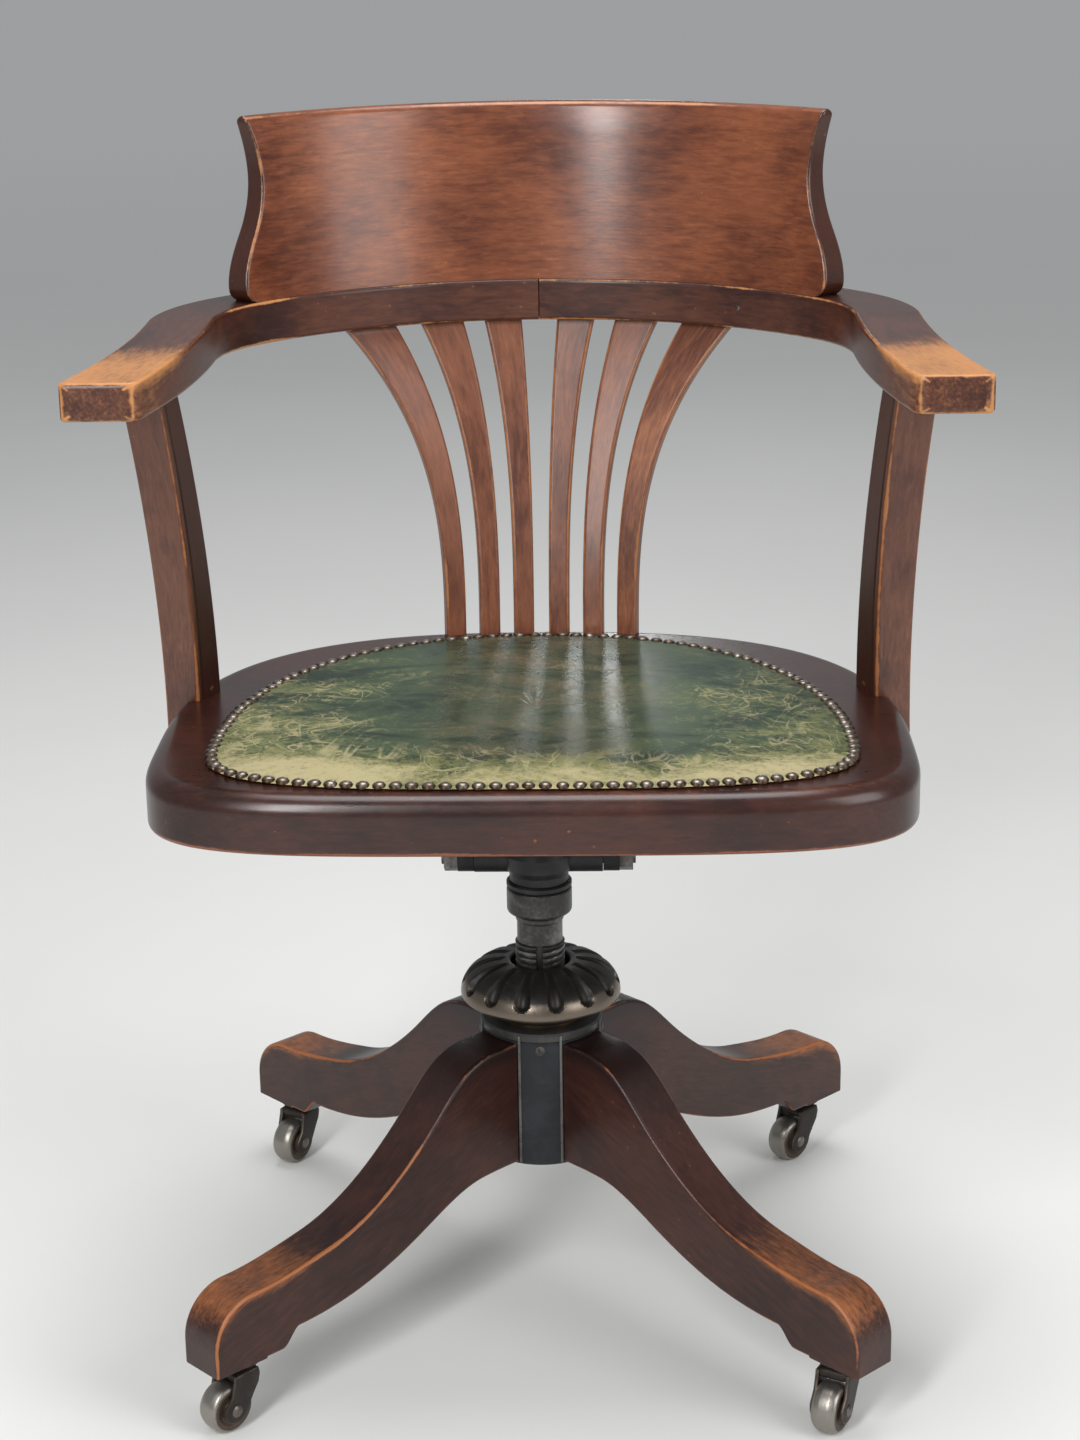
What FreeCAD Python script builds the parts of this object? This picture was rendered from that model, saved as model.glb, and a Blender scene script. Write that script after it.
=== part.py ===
import FreeCAD, Part
import math
import os

# A captain's desk chair: horseshoe arms, fanned slats and a leather seat on a screw-height swivel base.
# Millimetres, +Z up, the sitter faces -Y, and the origin is the floor point under the swivel axis.

# Fits
RUNNING_FIT = 0.05
SIDE_PLAY = 0.3
WOOD_FIT = 0.1

# Castors
CASTOR_HEIGHT = 53.0
CASTOR_INSET = 32.0
CASTOR_PLATE_RADIUS = 16.0
CASTOR_PLATE_THICKNESS = 3.0
CASTOR_PIVOT_RADIUS = 4.0
CASTOR_RIVET_RADIUS = 6.5
CASTOR_RIVET_THICKNESS = 2.2
CASTOR_WHEEL_RADIUS = 18.5
CASTOR_WHEEL_WIDTH = 19.0
CASTOR_TREAD_CROWN = 1.2
CASTOR_TREAD_FLAT = 9.0
CASTOR_AXLE_RADIUS = 3.0
CASTOR_AXLE_HEAD_RADIUS = 4.6
CASTOR_AXLE_HEAD_HEIGHT = 1.6
CASTOR_TRAIL = 13.0
CASTOR_CHEEK_THICKNESS = 3.2
CASTOR_CHEEK_EYE_RADIUS = 9.5
CASTOR_CHEEK_TURN = 20.0
CASTOR_BRIDGE_THICKNESS = 4.0
CASTOR_BOSS_RADIUS = 9.5
CASTOR_BOSS_HEIGHT = 5.0
CASTOR_BRIDGE_REAR = 12.5
# Bearing of each horn, from the pivot towards the wheel
CASTOR_BEARINGS = {"front_left": 226.0, "front_right": 243.0, "rear_left": 240.0, "rear_right": 225.0}

# Legs
LEG_BEARINGS = {"front_left": 225.0, "front_right": 315.0, "rear_left": 135.0, "rear_right": 45.0}
LEG_REACH = 330.0
LEG_THICKNESS = 38.0
LEG_ROOT_LIFT = 2.0
LEG_FOOT_TOP = 107.0
LEG_SHANK_UNDERSIDE = 66.0
LEG_FOOT_LENGTH = 58.0
LEG_FOOT_STEP = 16.0
LEG_TOE_RADIUS = 35.0
LEG_EDGE_EASE = 2.0
# Long curves of a leg: run out from the hub, fall from the root, downward slope in degrees
LEG_BACK_CURVE = ((44.0, 7.0, 27.0), (82.0, 41.0, 44.0), (181.0, 99.0, 11.0))
LEG_BELLY_CURVE = ((34.0, 1.0, 5.0), (89.0, 21.0, 26.0), (170.0, 48.5, 9.0))
DOVETAIL_DEPTH = 14.0
DOVETAIL_NECK = 22.0
DOVETAIL_ROOT = 30.0
DOVETAIL_DROP = 7.0

# Hub
HUB_RADIUS = 46.0
HUB_BOTTOM = 116.0
HUB_HEIGHT = 99.0
HUB_RIM_CHAMFER = 1.5
HUB_PLATE_RADIUS = 36.0
HUB_PLATE_THICKNESS = 3.0
COLLAR_THICKNESS = 7.0
BUSH_WALL = 4.0
KEY_WIDTH = 5.0
KEY_ENGAGEMENT = 3.2
KEY_LENGTH = 15.0

# Screw spindle
SPINDLE_RADIUS = 18.5
SPINDLE_LIFT = 4.0
SPINDLE_POINT = 2.0
THREAD_SHOWING = 16.95
THREAD_RUNOUT = 1.5
NECK_RADIUS = 17.0
NECK_LENGTH = 20.0
SOCKET_RADIUS = 24.3
SOCKET_TAPER = 3.0
SOCKET_HEIGHT = 19.0
SOCKET_BEVEL = 1.5
PINTLE_RADIUS = 12.4
PINTLE_LENGTH = 75.0
PINTLE_CLEARANCE = 5.0
PINTLE_POINT = (2.0, 4.0)
PINTLE_GROOVE_DEPTH = 2.0
PINTLE_GROOVE_WIDTH = 7.0
RETAINER_RADIUS = 2.9
RETAINER_DROP = 10.0
THRUST_RING_THICKNESS = 5.0
THRUST_RING_BEVEL = 1.2

# Handwheel
WASHER_THICKNESS = 2.0
WASHER_RADIUS = 32.0
WHEEL_BOSS_RADIUS = 34.0
WHEEL_BOSS_HEIGHT = 9.0
WHEEL_FOOT_RADIUS = 47.0
WHEEL_TURN_RADIUS = 58.0
WHEEL_TURN_HEIGHT = 13.2
WHEEL_RIM_RADIUS = 60.0
WHEEL_RIM_HEIGHT = 16.0
WHEEL_CROWN_RADIUS = 27.0
WHEEL_DOME_RISE = 25.0
WHEEL_BAND_SHARE = 0.15
WHEEL_BAND_STEPS = 3
WHEEL_DOME_STEPS = 5
WHEEL_RECESS_RADIUS = 22.0
WHEEL_RECESS_DEPTH = 12.0
FLUTE_COUNT = 14
FLUTE_START = -90.0
FLUTE_WIDTH_RIM = 13.0
FLUTE_WIDTH_CROWN = 6.0
FLUTE_FLOOR_SHARE = 0.4
FLUTE_DEPTH_RIM = 6.2
FLUTE_DEPTH_CROWN = 2.6

# Swivel yoke and tilt
TILT_RISE = 20.0
CROSS_TUBE_RADIUS = 14.0
CROSS_TUBE_LENGTH = 95.0
TILT_AXLE_RADIUS = 8.0
YOKE_NECK_RADIUS = 22.0
YOKE_NECK_HEIGHT = 6.0
YOKE_BOWL_RADIUS = 27.5
YOKE_BOWL_HEIGHT = 22.0
YOKE_BOWL_WAIST = (25.6, 11.0)
YOKE_CAP_TAPER = 3.0
YOKE_CAP_SHOULDER = 12.0
YOKE_CAP_CROWN = 3.0
NOSE_WIDTH = 24.0
NOSE_REACH = 66.0
NOSE_PAD_LENGTH = 18.0
NOSE_TIP_HEIGHT = 12.0
NOSE_ROOT_WALL = 2.0
NOSE_TOP_SAG = (6.0, 7.0)
NOSE_UNDER_SAG = (8.0, 9.0)
BUFFER_THICKNESS = 5.0
SPRING_ARM_WIDTH = 22.0
SPRING_ARM_HEIGHT = 13.0
SPRING_ARM_STEP = 1.5
SPRING_OFFSET = 76.0
SPRING_SEAT_RISE = 2.0
SPRING_CUP_RADIUS = 21.0
SPRING_CUP_HEIGHT = 9.0
SPRING_SPIGOT_HEIGHT = 9.0
SPRING_SPIGOT_PLAY = 1.0
SPRING_SPIGOT_TAPER = 2.0
SPRING_WIRE = 5.6
SPRING_MEAN_RADIUS = 16.0
SPRING_ACTIVE_TURNS = 3
SPRING_WIRE_SIDES = 12
SPRING_CLOSED_GAP = 0.7
SPRING_GROUND = 1.2
LUG_THICKNESS = 12.0
LUG_RADIUS = 13.5
LUG_FOOT_LENGTH = 84.0
NUT_ACROSS_FLATS = 24.0
NUT_HEIGHT = 10.0
AXLE_END = 2.0
SEAT_PLATE_THICKNESS = 6.0
SEAT_PLATE_HALF_WIDTH = 74.0
SEAT_PLATE_FRONT = -104.0
SEAT_PLATE_REAR = 116.0
SEAT_PLATE_CORNER = 18.0

# Seat
SEAT_RISE = 77.0
SEAT_THICKNESS = 41.0
SEAT_HALF_WIDTH = 266.0
SEAT_FRONT = -218.0
SEAT_REAR = 194.0
SEAT_WIDEST = -75.0
SEAT_FRONT_FULLNESS = 4.4
SEAT_REAR_FULLNESS = 2.6
SEAT_NOSE_RADIUS = 13.0
SEAT_UNDER_BEVEL = 3.0
PAD_HALF_WIDTH = 225.0
PAD_FRONT = -203.0
PAD_REAR = 170.0
PAD_WIDEST = -110.0
PAD_FRONT_FULLNESS = 3.2
PAD_REAR_FULLNESS = 2.2
PAD_CROWN = 9.0
PAD_CROWN_RADIUS = 5000.0
PAD_EDGE_EASE = 2.0
# Bearings of the points that the seat and pad outlines are drawn through
OUTLINE_BEARINGS = (0, 45, 90, 135, 180, 210, 240, 270, 300, 330)

# Arm bow
ARM_RISE = 238.0
BOW_THICKNESS = 32.0
BOW_WIDTH = 48.0
BOW_REAR_INNER = 239.0
BOW_REAR_RADIUS = 260.0
BOW_CORNER_RADIUS = 118.0
BOW_HALF_WIDTH = 231.0
ARM_FRONT = -150.0
ARM_FRONT_INNER = 253.0
ARM_FRONT_WIDTH = 54.0
ARM_FRONT_THICKNESS = 26.0
ARM_FRONT_CORNER = 8.0
ARM_EDGE_EASE = 2.5
DOWEL_RADIUS = 5.0
BOW_DOWEL_LENGTH = 44.0
BOW_DOWEL_SPACING = 24.0
BOW_DOWEL_RISE = 2.0
CREST_DOWEL_LENGTH = 30.0
CREST_DOWEL_BEARINGS = (-44.0, -16.0, 16.0, 44.0)

# Crest rail
CREST_HEIGHT = 135.0
CREST_FRONT_INSET = 2.0
CREST_BASE_THICKNESS = 22.0
CREST_TOP_THICKNESS = 14.0
CREST_TOP_BEVEL = 4.5
CREST_LEAN = 12.0
CREST_HALF_ANGLE = 52.0
CREST_END_SPARE = 10.0
# Ogee end: height above the bow, run past the half angle along the face, outward lean in degrees
CREST_OGEE = ((0.0, 12.0, 0.0), (48.0, -3.0, -31.0), (91.0, -16.0, 0.0), (135.0, -7.0, 19.0))

# Slats, from the outer left to the outer right
SLAT_FEET = (-68.0, -41.0, -14.0, 14.0, 41.0, 68.0)
SLAT_HEADS = (-132.0, -77.0, -29.0, 29.0, 77.0, 132.0)
SLAT_HEAD_WIDTHS = (42.0, 34.0, 29.5, 29.5, 34.0, 42.0)
SLAT_FOOT_WIDTH = 16.0
SLAT_THICKNESS = 11.0
SLAT_FOOT_INSET = 10.0
SLAT_HEAD_INSET = 14.0
SLAT_SWEEP_POWER = 2.8
SLAT_RAKE_POWER = 1.4
SLAT_WIDTH_POWER = 3.0
SLAT_STATIONS = 6
TENON_WIDTH = 10.0
TENON_THICKNESS = 6.0
TENON_DEPTH = 12.0

# Arm posts: places of the front inner corner at the seat and under the arm
POST_WIDTH = 29.0
POST_DEPTH = 32.0
POST_FOOT_INSET = 19.0
POST_FOOT_BACK = 78.0
POST_FOOT_TURN = 24.0
POST_HEAD_INSET = 5.0
POST_HEAD_BACK = 60.0
POST_HEAD_TURN = 15.0
POST_LAP = 37.0
POST_BOW = 4.0
POST_TENON_WIDTH = 13.0
POST_TENON_DEPTH = 14.0

# Heights and places that follow from the sizes above
HUB_TOP = HUB_BOTTOM + HUB_HEIGHT
COLLAR_TOP = HUB_TOP + COLLAR_THICKNESS
WASHER_TOP = COLLAR_TOP + WASHER_THICKNESS
WHEEL_BOTTOM = WASHER_TOP + RUNNING_FIT
WHEEL_RIM = WHEEL_BOTTOM + WHEEL_RIM_HEIGHT
WHEEL_TOP = WHEEL_RIM + WHEEL_DOME_RISE
BUSH_RADIUS = SPINDLE_RADIUS + RUNNING_FIT + BUSH_WALL
SPINDLE_BOTTOM = HUB_BOTTOM + SPINDLE_LIFT
THREAD_TOP = WHEEL_TOP + THREAD_SHOWING
NECK_TOP = THREAD_TOP + NECK_LENGTH
SOCKET_BOTTOM = NECK_TOP + SOCKET_TAPER
SOCKET_TOP = SOCKET_BOTTOM + SOCKET_HEIGHT
RETAINER_HEIGHT = SOCKET_TOP - RETAINER_DROP
THRUST_RING_TOP = SOCKET_TOP + THRUST_RING_THICKNESS
YOKE_BOTTOM = THRUST_RING_TOP + RUNNING_FIT
TILT_HEIGHT = THRUST_RING_TOP + TILT_RISE
SEAT_BOTTOM = TILT_HEIGHT + SEAT_RISE
PINTLE_BOTTOM = SOCKET_TOP - PINTLE_LENGTH
CROSS_TUBE_END = CROSS_TUBE_LENGTH / 2
LUG_INNER = CROSS_TUBE_END + SIDE_PLAY
LUG_OUTER = LUG_INNER + LUG_THICKNESS
SEAT_PLATE_BOTTOM = SEAT_BOTTOM - SEAT_PLATE_THICKNESS
SPRING_SEAT = TILT_HEIGHT + SPRING_SEAT_RISE
SEAT_TOP = SEAT_BOTTOM + SEAT_THICKNESS
BOW_UNDERSIDE = SEAT_TOP + ARM_RISE
BOW_TOP = BOW_UNDERSIDE + BOW_THICKNESS
BOW_CENTRE = BOW_REAR_INNER - BOW_REAR_RADIUS
CREST_INNER = BOW_REAR_RADIUS + CREST_FRONT_INSET
POST_FOOT_CORNER = (SEAT_HALF_WIDTH - POST_FOOT_INSET, SEAT_WIDEST + POST_FOOT_BACK)
POST_HEAD_CORNER = (ARM_FRONT_INNER - POST_HEAD_INSET, ARM_FRONT + POST_HEAD_BACK)
CASTOR_RADIUS = LEG_REACH - CASTOR_INSET
CASTOR_PLATE_BOTTOM = CASTOR_HEIGHT - CASTOR_PLATE_THICKNESS
CASTOR_HORN_TOP = CASTOR_PLATE_BOTTOM - SIDE_PLAY
CASTOR_BRIDGE_TOP = CASTOR_HORN_TOP - CASTOR_BOSS_HEIGHT
CASTOR_HORN_BOTTOM = CASTOR_BRIDGE_TOP - CASTOR_BRIDGE_THICKNESS
CASTOR_CHEEK_INNER = CASTOR_WHEEL_WIDTH / 2 + SIDE_PLAY
CASTOR_CHEEK_OUTER = CASTOR_CHEEK_INNER + CASTOR_CHEEK_THICKNESS

Z_AXIS = FreeCAD.Vector(0, 0, 1)
X_AXIS = FreeCAD.Vector(1, 0, 0)
ORIGIN = FreeCAD.Vector(0, 0, 0)


def vec(x, y, z):
    return FreeCAD.Vector(x, y, z)


def line(start, end):
    return Part.makeLine(start, end)


def arc(start, middle, end):
    return Part.Arc(start, middle, end).toShape()


def tangent_arc(start, corner, end):
    """Arc from start to end whose end tangents meet at the corner."""
    middle = (start + end) * 0.5
    half_chord = (end - start).Length / 2
    rise = corner - middle
    bend = math.atan2(rise.Length, half_chord)
    return arc(start, middle + rise * (half_chord * math.tan(bend / 2) / rise.Length), end)


def biarc(start, start_direction, end, end_direction):
    """Two arcs that leave and arrive in the given directions and share a tangent where they meet."""
    span = end - start
    along = span.dot(start_direction + end_direction)
    spread = 2 * (1 - start_direction.dot(end_direction))
    reach = span.dot(span) / (along + math.sqrt(along * along + spread * span.dot(span)))
    first = start + start_direction * reach
    second = end - end_direction * reach
    joint = (first + second) * 0.5
    return [tangent_arc(start, first, joint), tangent_arc(joint, second, end)]


def smooth(knots):
    """Smooth run of arcs through knots, each a point and a direction."""
    edges = []
    for (point, direction), (next_point, next_direction) in zip(knots, knots[1:]):
        edges += biarc(point, direction, next_point, next_direction)
    return edges


def chain(points):
    """Straight edges from each point to the next."""
    return [line(a, b) for a, b in zip(points, points[1:])]


def face_of(edges):
    return Part.Face(Part.Wire(Part.__sortEdges__(edges)))


def prism(edges, direction):
    return face_of(edges).extrude(direction)


def turned(edges, angle=360.0):
    """Solid of revolution about the Z axis of a closed outline in the XZ plane."""
    return face_of(edges).revolve(ORIGIN, Z_AXIS, angle)


def disc(radius, bottom, height, x=0.0, y=0.0):
    return Part.makeCylinder(radius, height, vec(x, y, bottom))


def ring(outer, inner, bottom, height):
    return disc(outer, bottom, height).cut(disc(inner, bottom, height))


def bar_along_x(radius, start, end, height):
    return Part.makeCylinder(radius, end - start, vec(start, 0, height), X_AXIS)


def round_edges(body, lowest=-math.inf):
    """Full circular edges of a turned body above a height."""
    return [edge for edge in body.Edges if len(edge.Vertexes) == 1 and edge.CenterOfMass.z > lowest]


def block(x_range, y_range, z_range):
    size = [end - start for start, end in (x_range, y_range, z_range)]
    return Part.makeBox(*size, vec(x_range[0], y_range[0], z_range[0]))


def turn(shape, degrees, centre=ORIGIN):
    copy = shape.copy()
    copy.rotate(centre, Z_AXIS, degrees)
    return copy


def move(shape, x, y, z=0.0):
    copy = shape.copy()
    copy.translate(vec(x, y, z))
    return copy


def mirrored(shape):
    """The same piece for the other side of the chair."""
    return shape.mirror(ORIGIN, X_AXIS)


def bearing_point(radius, degrees, height=0.0):
    angle = math.radians(degrees)
    return vec(radius * math.cos(angle), radius * math.sin(angle), height)


def bearing_xz(radius, degrees):
    angle = math.radians(degrees)
    return vec(radius * math.cos(angle), 0, radius * math.sin(angle))


# Base


def dovetail(depth, neck, root, bottom, top):
    """Tongue that widens inward from the hub's rim, along the +X bearing."""
    inner = HUB_RADIUS - depth
    outer = HUB_RADIUS + LEG_ROOT_LIFT
    corners = [vec(inner, -root / 2, bottom), vec(HUB_RADIUS, -neck / 2, bottom)]
    corners += [vec(outer, -neck / 2, bottom)]
    corners += [vec(p.x, -p.y, p.z) for p in reversed(corners)]
    return prism(chain(corners + corners[:1]), vec(0, 0, top - bottom))


def hub_casting():
    body = disc(HUB_RADIUS, HUB_BOTTOM, HUB_HEIGHT)
    body = body.makeChamfer(HUB_RIM_CHAMFER, round_edges(body))
    body = body.cut(disc(BUSH_RADIUS, HUB_BOTTOM, HUB_HEIGHT))
    neck = DOVETAIL_NECK + 2 * WOOD_FIT
    root = DOVETAIL_ROOT + 2 * WOOD_FIT
    slot = dovetail(DOVETAIL_DEPTH + WOOD_FIT, neck, root, HUB_BOTTOM, HUB_TOP - DOVETAIL_DROP)
    return body.cut([turn(slot, bearing) for bearing in LEG_BEARINGS.values()])


def hub_plate():
    bottom = HUB_BOTTOM - HUB_PLATE_THICKNESS
    return ring(HUB_PLATE_RADIUS, SPINDLE_RADIUS + SIDE_PLAY, bottom, HUB_PLATE_THICKNESS)


def hub_collar():
    body = disc(HUB_RADIUS, HUB_TOP, COLLAR_THICKNESS)
    body = body.makeChamfer(HUB_RIM_CHAMFER, round_edges(body, HUB_TOP))
    body = body.cut(disc(SPINDLE_RADIUS + SIDE_PLAY, HUB_TOP, COLLAR_THICKNESS))
    return body.cut(spindle_key())


def guide_bush():
    return ring(BUSH_RADIUS, SPINDLE_RADIUS + RUNNING_FIT, HUB_BOTTOM, HUB_HEIGHT)


def spindle_key():
    """Feather in the collar that keeps the spindle from turning."""
    inner = SPINDLE_RADIUS - KEY_ENGAGEMENT
    half = KEY_WIDTH / 2
    return block((-half, half), (-inner - KEY_LENGTH, -inner), (HUB_TOP, COLLAR_TOP))


def fall_knots(top, knots):
    """Points and downward directions along a leg, out from the hub and down from a height."""
    return [(vec(HUB_RADIUS + run, 0, top - fall), bearing_xz(1.0, -slope)) for run, fall, slope in knots]


def leg_outline():
    """Side view of a leg: S-shaped back, hollow belly, stepped foot with a rounded toe."""
    start = HUB_RADIUS - DOVETAIL_DEPTH / 2
    root_bottom = HUB_BOTTOM + LEG_ROOT_LIFT
    back_root = vec(start, 0, HUB_TOP)
    belly_root = vec(start, 0, root_bottom)
    toe_start = vec(LEG_REACH - LEG_TOE_RADIUS, 0, LEG_FOOT_TOP)
    toe_end = vec(LEG_REACH, 0, LEG_FOOT_TOP - LEG_TOE_RADIUS)
    toe_bottom = vec(LEG_REACH, 0, CASTOR_HEIGHT)
    heel = vec(LEG_REACH - LEG_FOOT_LENGTH, 0, CASTOR_HEIGHT)
    step = vec(heel.x - LEG_FOOT_STEP, 0, LEG_SHANK_UNDERSIDE)
    back = [(back_root, X_AXIS)] + fall_knots(HUB_TOP, LEG_BACK_CURVE) + [(toe_start, X_AXIS)]
    belly = [(belly_root, X_AXIS)] + fall_knots(root_bottom, LEG_BELLY_CURVE)
    belly += [(step, X_AXIS), (heel, X_AXIS)]
    toe = tangent_arc(toe_start, vec(LEG_REACH, 0, LEG_FOOT_TOP), toe_end)
    foot = [toe] + chain([toe_end, toe_bottom, heel])
    return smooth(back) + foot + smooth(belly) + [line(belly_root, back_root)]


def leg(bearing):
    face = face_of(leg_outline())
    face.translate(vec(0, -LEG_THICKNESS / 2, 0))
    body = face.extrude(vec(0, LEG_THICKNESS, 0))
    side_edges = [edge for edge in body.Edges if edge.BoundBox.YLength < WOOD_FIT
                  and edge.BoundBox.XMax > HUB_RADIUS]
    body = body.makeChamfer(LEG_EDGE_EASE, side_edges)
    body = body.cut(disc(HUB_RADIUS, HUB_BOTTOM, HUB_HEIGHT + COLLAR_THICKNESS))
    tongue_top = HUB_TOP - DOVETAIL_DROP
    tongue = dovetail(DOVETAIL_DEPTH, DOVETAIL_NECK, DOVETAIL_ROOT, HUB_BOTTOM + LEG_ROOT_LIFT, tongue_top)
    return turn(body.fuse(tongue).removeSplitter(), bearing)


# Castors


def castor_plate():
    """Round plate under the foot with the rivet that the horn turns on."""
    plate = disc(CASTOR_PLATE_RADIUS, CASTOR_PLATE_BOTTOM, CASTOR_PLATE_THICKNESS)
    rivet_top = CASTOR_HORN_BOTTOM - SIDE_PLAY
    pivot = disc(CASTOR_PIVOT_RADIUS, rivet_top, CASTOR_PLATE_BOTTOM - rivet_top)
    rivet = disc(CASTOR_RIVET_RADIUS, rivet_top - CASTOR_RIVET_THICKNESS, CASTOR_RIVET_THICKNESS)
    return plate.fuse([pivot, rivet])


def cheek_outline():
    """Side view of a horn cheek: from the bridge down and back to the eye for the axle."""
    eye = vec(CASTOR_TRAIL, 0, CASTOR_WHEEL_RADIUS)
    root_front = vec(-CASTOR_BOSS_RADIUS, 0, CASTOR_HORN_BOTTOM)
    root_back = vec(CASTOR_BRIDGE_REAR, 0, CASTOR_HORN_BOTTOM)
    left = eye + bearing_xz(CASTOR_CHEEK_EYE_RADIUS, 180 + CASTOR_CHEEK_TURN)
    below = eye + bearing_xz(CASTOR_CHEEK_EYE_RADIUS, 270 + CASTOR_CHEEK_TURN)
    right = eye + bearing_xz(CASTOR_CHEEK_EYE_RADIUS, CASTOR_CHEEK_TURN)
    sweep = vec(-CASTOR_BOSS_RADIUS / 3, 0, (CASTOR_HORN_BOTTOM + eye.z) / 2)
    edges = [arc(root_front, sweep, left), arc(left, below, right), line(right, root_back)]
    top_back = vec(root_back.x, 0, CASTOR_BRIDGE_TOP)
    top_front = vec(root_front.x, 0, CASTOR_BRIDGE_TOP)
    return edges + chain([root_back, top_back, top_front, root_front])


def castor_horn():
    """Round boss on a bridge with two cheeks that carry the axle."""
    cheek = face_of(cheek_outline())
    cheek.translate(vec(0, CASTOR_CHEEK_INNER, 0))
    cheek = cheek.extrude(vec(0, CASTOR_CHEEK_THICKNESS, 0))
    other = cheek.mirror(ORIGIN, vec(0, 1, 0))
    across = (-CASTOR_CHEEK_OUTER, CASTOR_CHEEK_OUTER)
    bridge = block((-CASTOR_BOSS_RADIUS, CASTOR_BRIDGE_REAR), across, (CASTOR_HORN_BOTTOM, CASTOR_BRIDGE_TOP))
    boss = disc(CASTOR_BOSS_RADIUS, CASTOR_BRIDGE_TOP, CASTOR_BOSS_HEIGHT)
    body = bridge.fuse([cheek, other, boss]).removeSplitter()
    bore = disc(CASTOR_PIVOT_RADIUS + RUNNING_FIT, CASTOR_HORN_BOTTOM, CASTOR_HORN_TOP - CASTOR_HORN_BOTTOM)
    return body.cut([bore, axle_bar(CASTOR_AXLE_RADIUS, CASTOR_CHEEK_OUTER)])


def axle_bar(radius, half_length):
    start = vec(CASTOR_TRAIL, -half_length, CASTOR_WHEEL_RADIUS)
    return Part.makeCylinder(radius, 2 * half_length, start, vec(0, 1, 0))


def castor_axle():
    pin = axle_bar(CASTOR_AXLE_RADIUS, CASTOR_CHEEK_OUTER)
    heads = axle_bar(CASTOR_AXLE_HEAD_RADIUS, CASTOR_CHEEK_OUTER + CASTOR_AXLE_HEAD_HEIGHT)
    return pin.fuse(heads.cut(axle_bar(2 * CASTOR_AXLE_HEAD_RADIUS, CASTOR_CHEEK_OUTER)))


def castor_wheel():
    """Barrel wheel bored for its axle, turned and laid on its side."""
    half = CASTOR_WHEEL_WIDTH / 2
    bore = CASTOR_AXLE_RADIUS + RUNNING_FIT
    side = [vec(CASTOR_WHEEL_RADIUS, 0, CASTOR_TREAD_FLAT / 2)]
    side += [vec(CASTOR_WHEEL_RADIUS - CASTOR_TREAD_CROWN, 0, half), vec(bore, 0, half)]
    other = [vec(p.x, 0, -p.z) for p in reversed(side)]
    body = turned(chain(side + other + side[:1]))
    body.rotate(ORIGIN, X_AXIS, 90)
    return move(body, CASTOR_TRAIL, 0, CASTOR_WHEEL_RADIUS)


def at_castor(shape, corner, swivelled):
    """Sets a castor piece under its foot, with the horn on its bearing where the piece swivels."""
    pivot = bearing_point(CASTOR_RADIUS, LEG_BEARINGS[corner])
    placed = turn(shape, CASTOR_BEARINGS[corner]) if swivelled else shape
    return move(placed, pivot.x, pivot.y)


# Height screw


def screw_spindle():
    """Screw with a plain neck, a round socket for the pintle and a keyway down its front."""
    bore = PINTLE_RADIUS + RUNNING_FIT
    bore_bottom = PINTLE_BOTTOM - PINTLE_CLEARANCE
    outline = [vec(0, 0, SPINDLE_BOTTOM), vec(SPINDLE_RADIUS - SPINDLE_POINT, 0, SPINDLE_BOTTOM)]
    outline += [vec(SPINDLE_RADIUS, 0, SPINDLE_BOTTOM + SPINDLE_POINT)]
    outline += [vec(SPINDLE_RADIUS, 0, THREAD_TOP - THREAD_RUNOUT), vec(NECK_RADIUS, 0, THREAD_TOP)]
    outline += [vec(NECK_RADIUS, 0, NECK_TOP), vec(SOCKET_RADIUS, 0, SOCKET_BOTTOM)]
    outline += [vec(SOCKET_RADIUS, 0, SOCKET_TOP - SOCKET_BEVEL)]
    outline += [vec(SOCKET_RADIUS - SOCKET_BEVEL, 0, SOCKET_TOP)]
    outline += [vec(bore, 0, SOCKET_TOP), vec(bore, 0, bore_bottom), vec(0, 0, bore_bottom), outline[0]]
    half = KEY_WIDTH / 2 + RUNNING_FIT
    floor = SPINDLE_RADIUS - KEY_ENGAGEMENT - RUNNING_FIT
    keyway = block((-half, half), (-2 * SPINDLE_RADIUS, -floor), (SPINDLE_BOTTOM, THREAD_TOP))
    return turned(chain(outline)).cut([keyway, retaining_screw()])


def retaining_screw():
    """Screw at the back of the socket whose point runs in the pintle's groove."""
    tip = PINTLE_RADIUS - PINTLE_GROOVE_DEPTH + SIDE_PLAY
    start = vec(0, tip, RETAINER_HEIGHT)
    return Part.makeCylinder(RETAINER_RADIUS, SOCKET_RADIUS - tip, start, vec(0, 1, 0))


def thrust_ring():
    body = disc(SOCKET_RADIUS, SOCKET_TOP, THRUST_RING_THICKNESS)
    body = body.makeChamfer(THRUST_RING_BEVEL, round_edges(body))
    return body.cut(disc(PINTLE_RADIUS + SIDE_PLAY, SOCKET_TOP, THRUST_RING_THICKNESS))


def wheel_washer():
    return ring(WASHER_RADIUS, SPINDLE_RADIUS + SIDE_PLAY, COLLAR_TOP, WASHER_THICKNESS)


def dome_point(share):
    """Radius and height of the dome at a share of its rise."""
    lift = math.radians(90.0 * share)
    radius = WHEEL_CROWN_RADIUS + (WHEEL_RIM_RADIUS - WHEEL_CROWN_RADIUS) * math.cos(lift)
    return radius, WHEEL_RIM + WHEEL_DOME_RISE * math.sin(lift)


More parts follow.
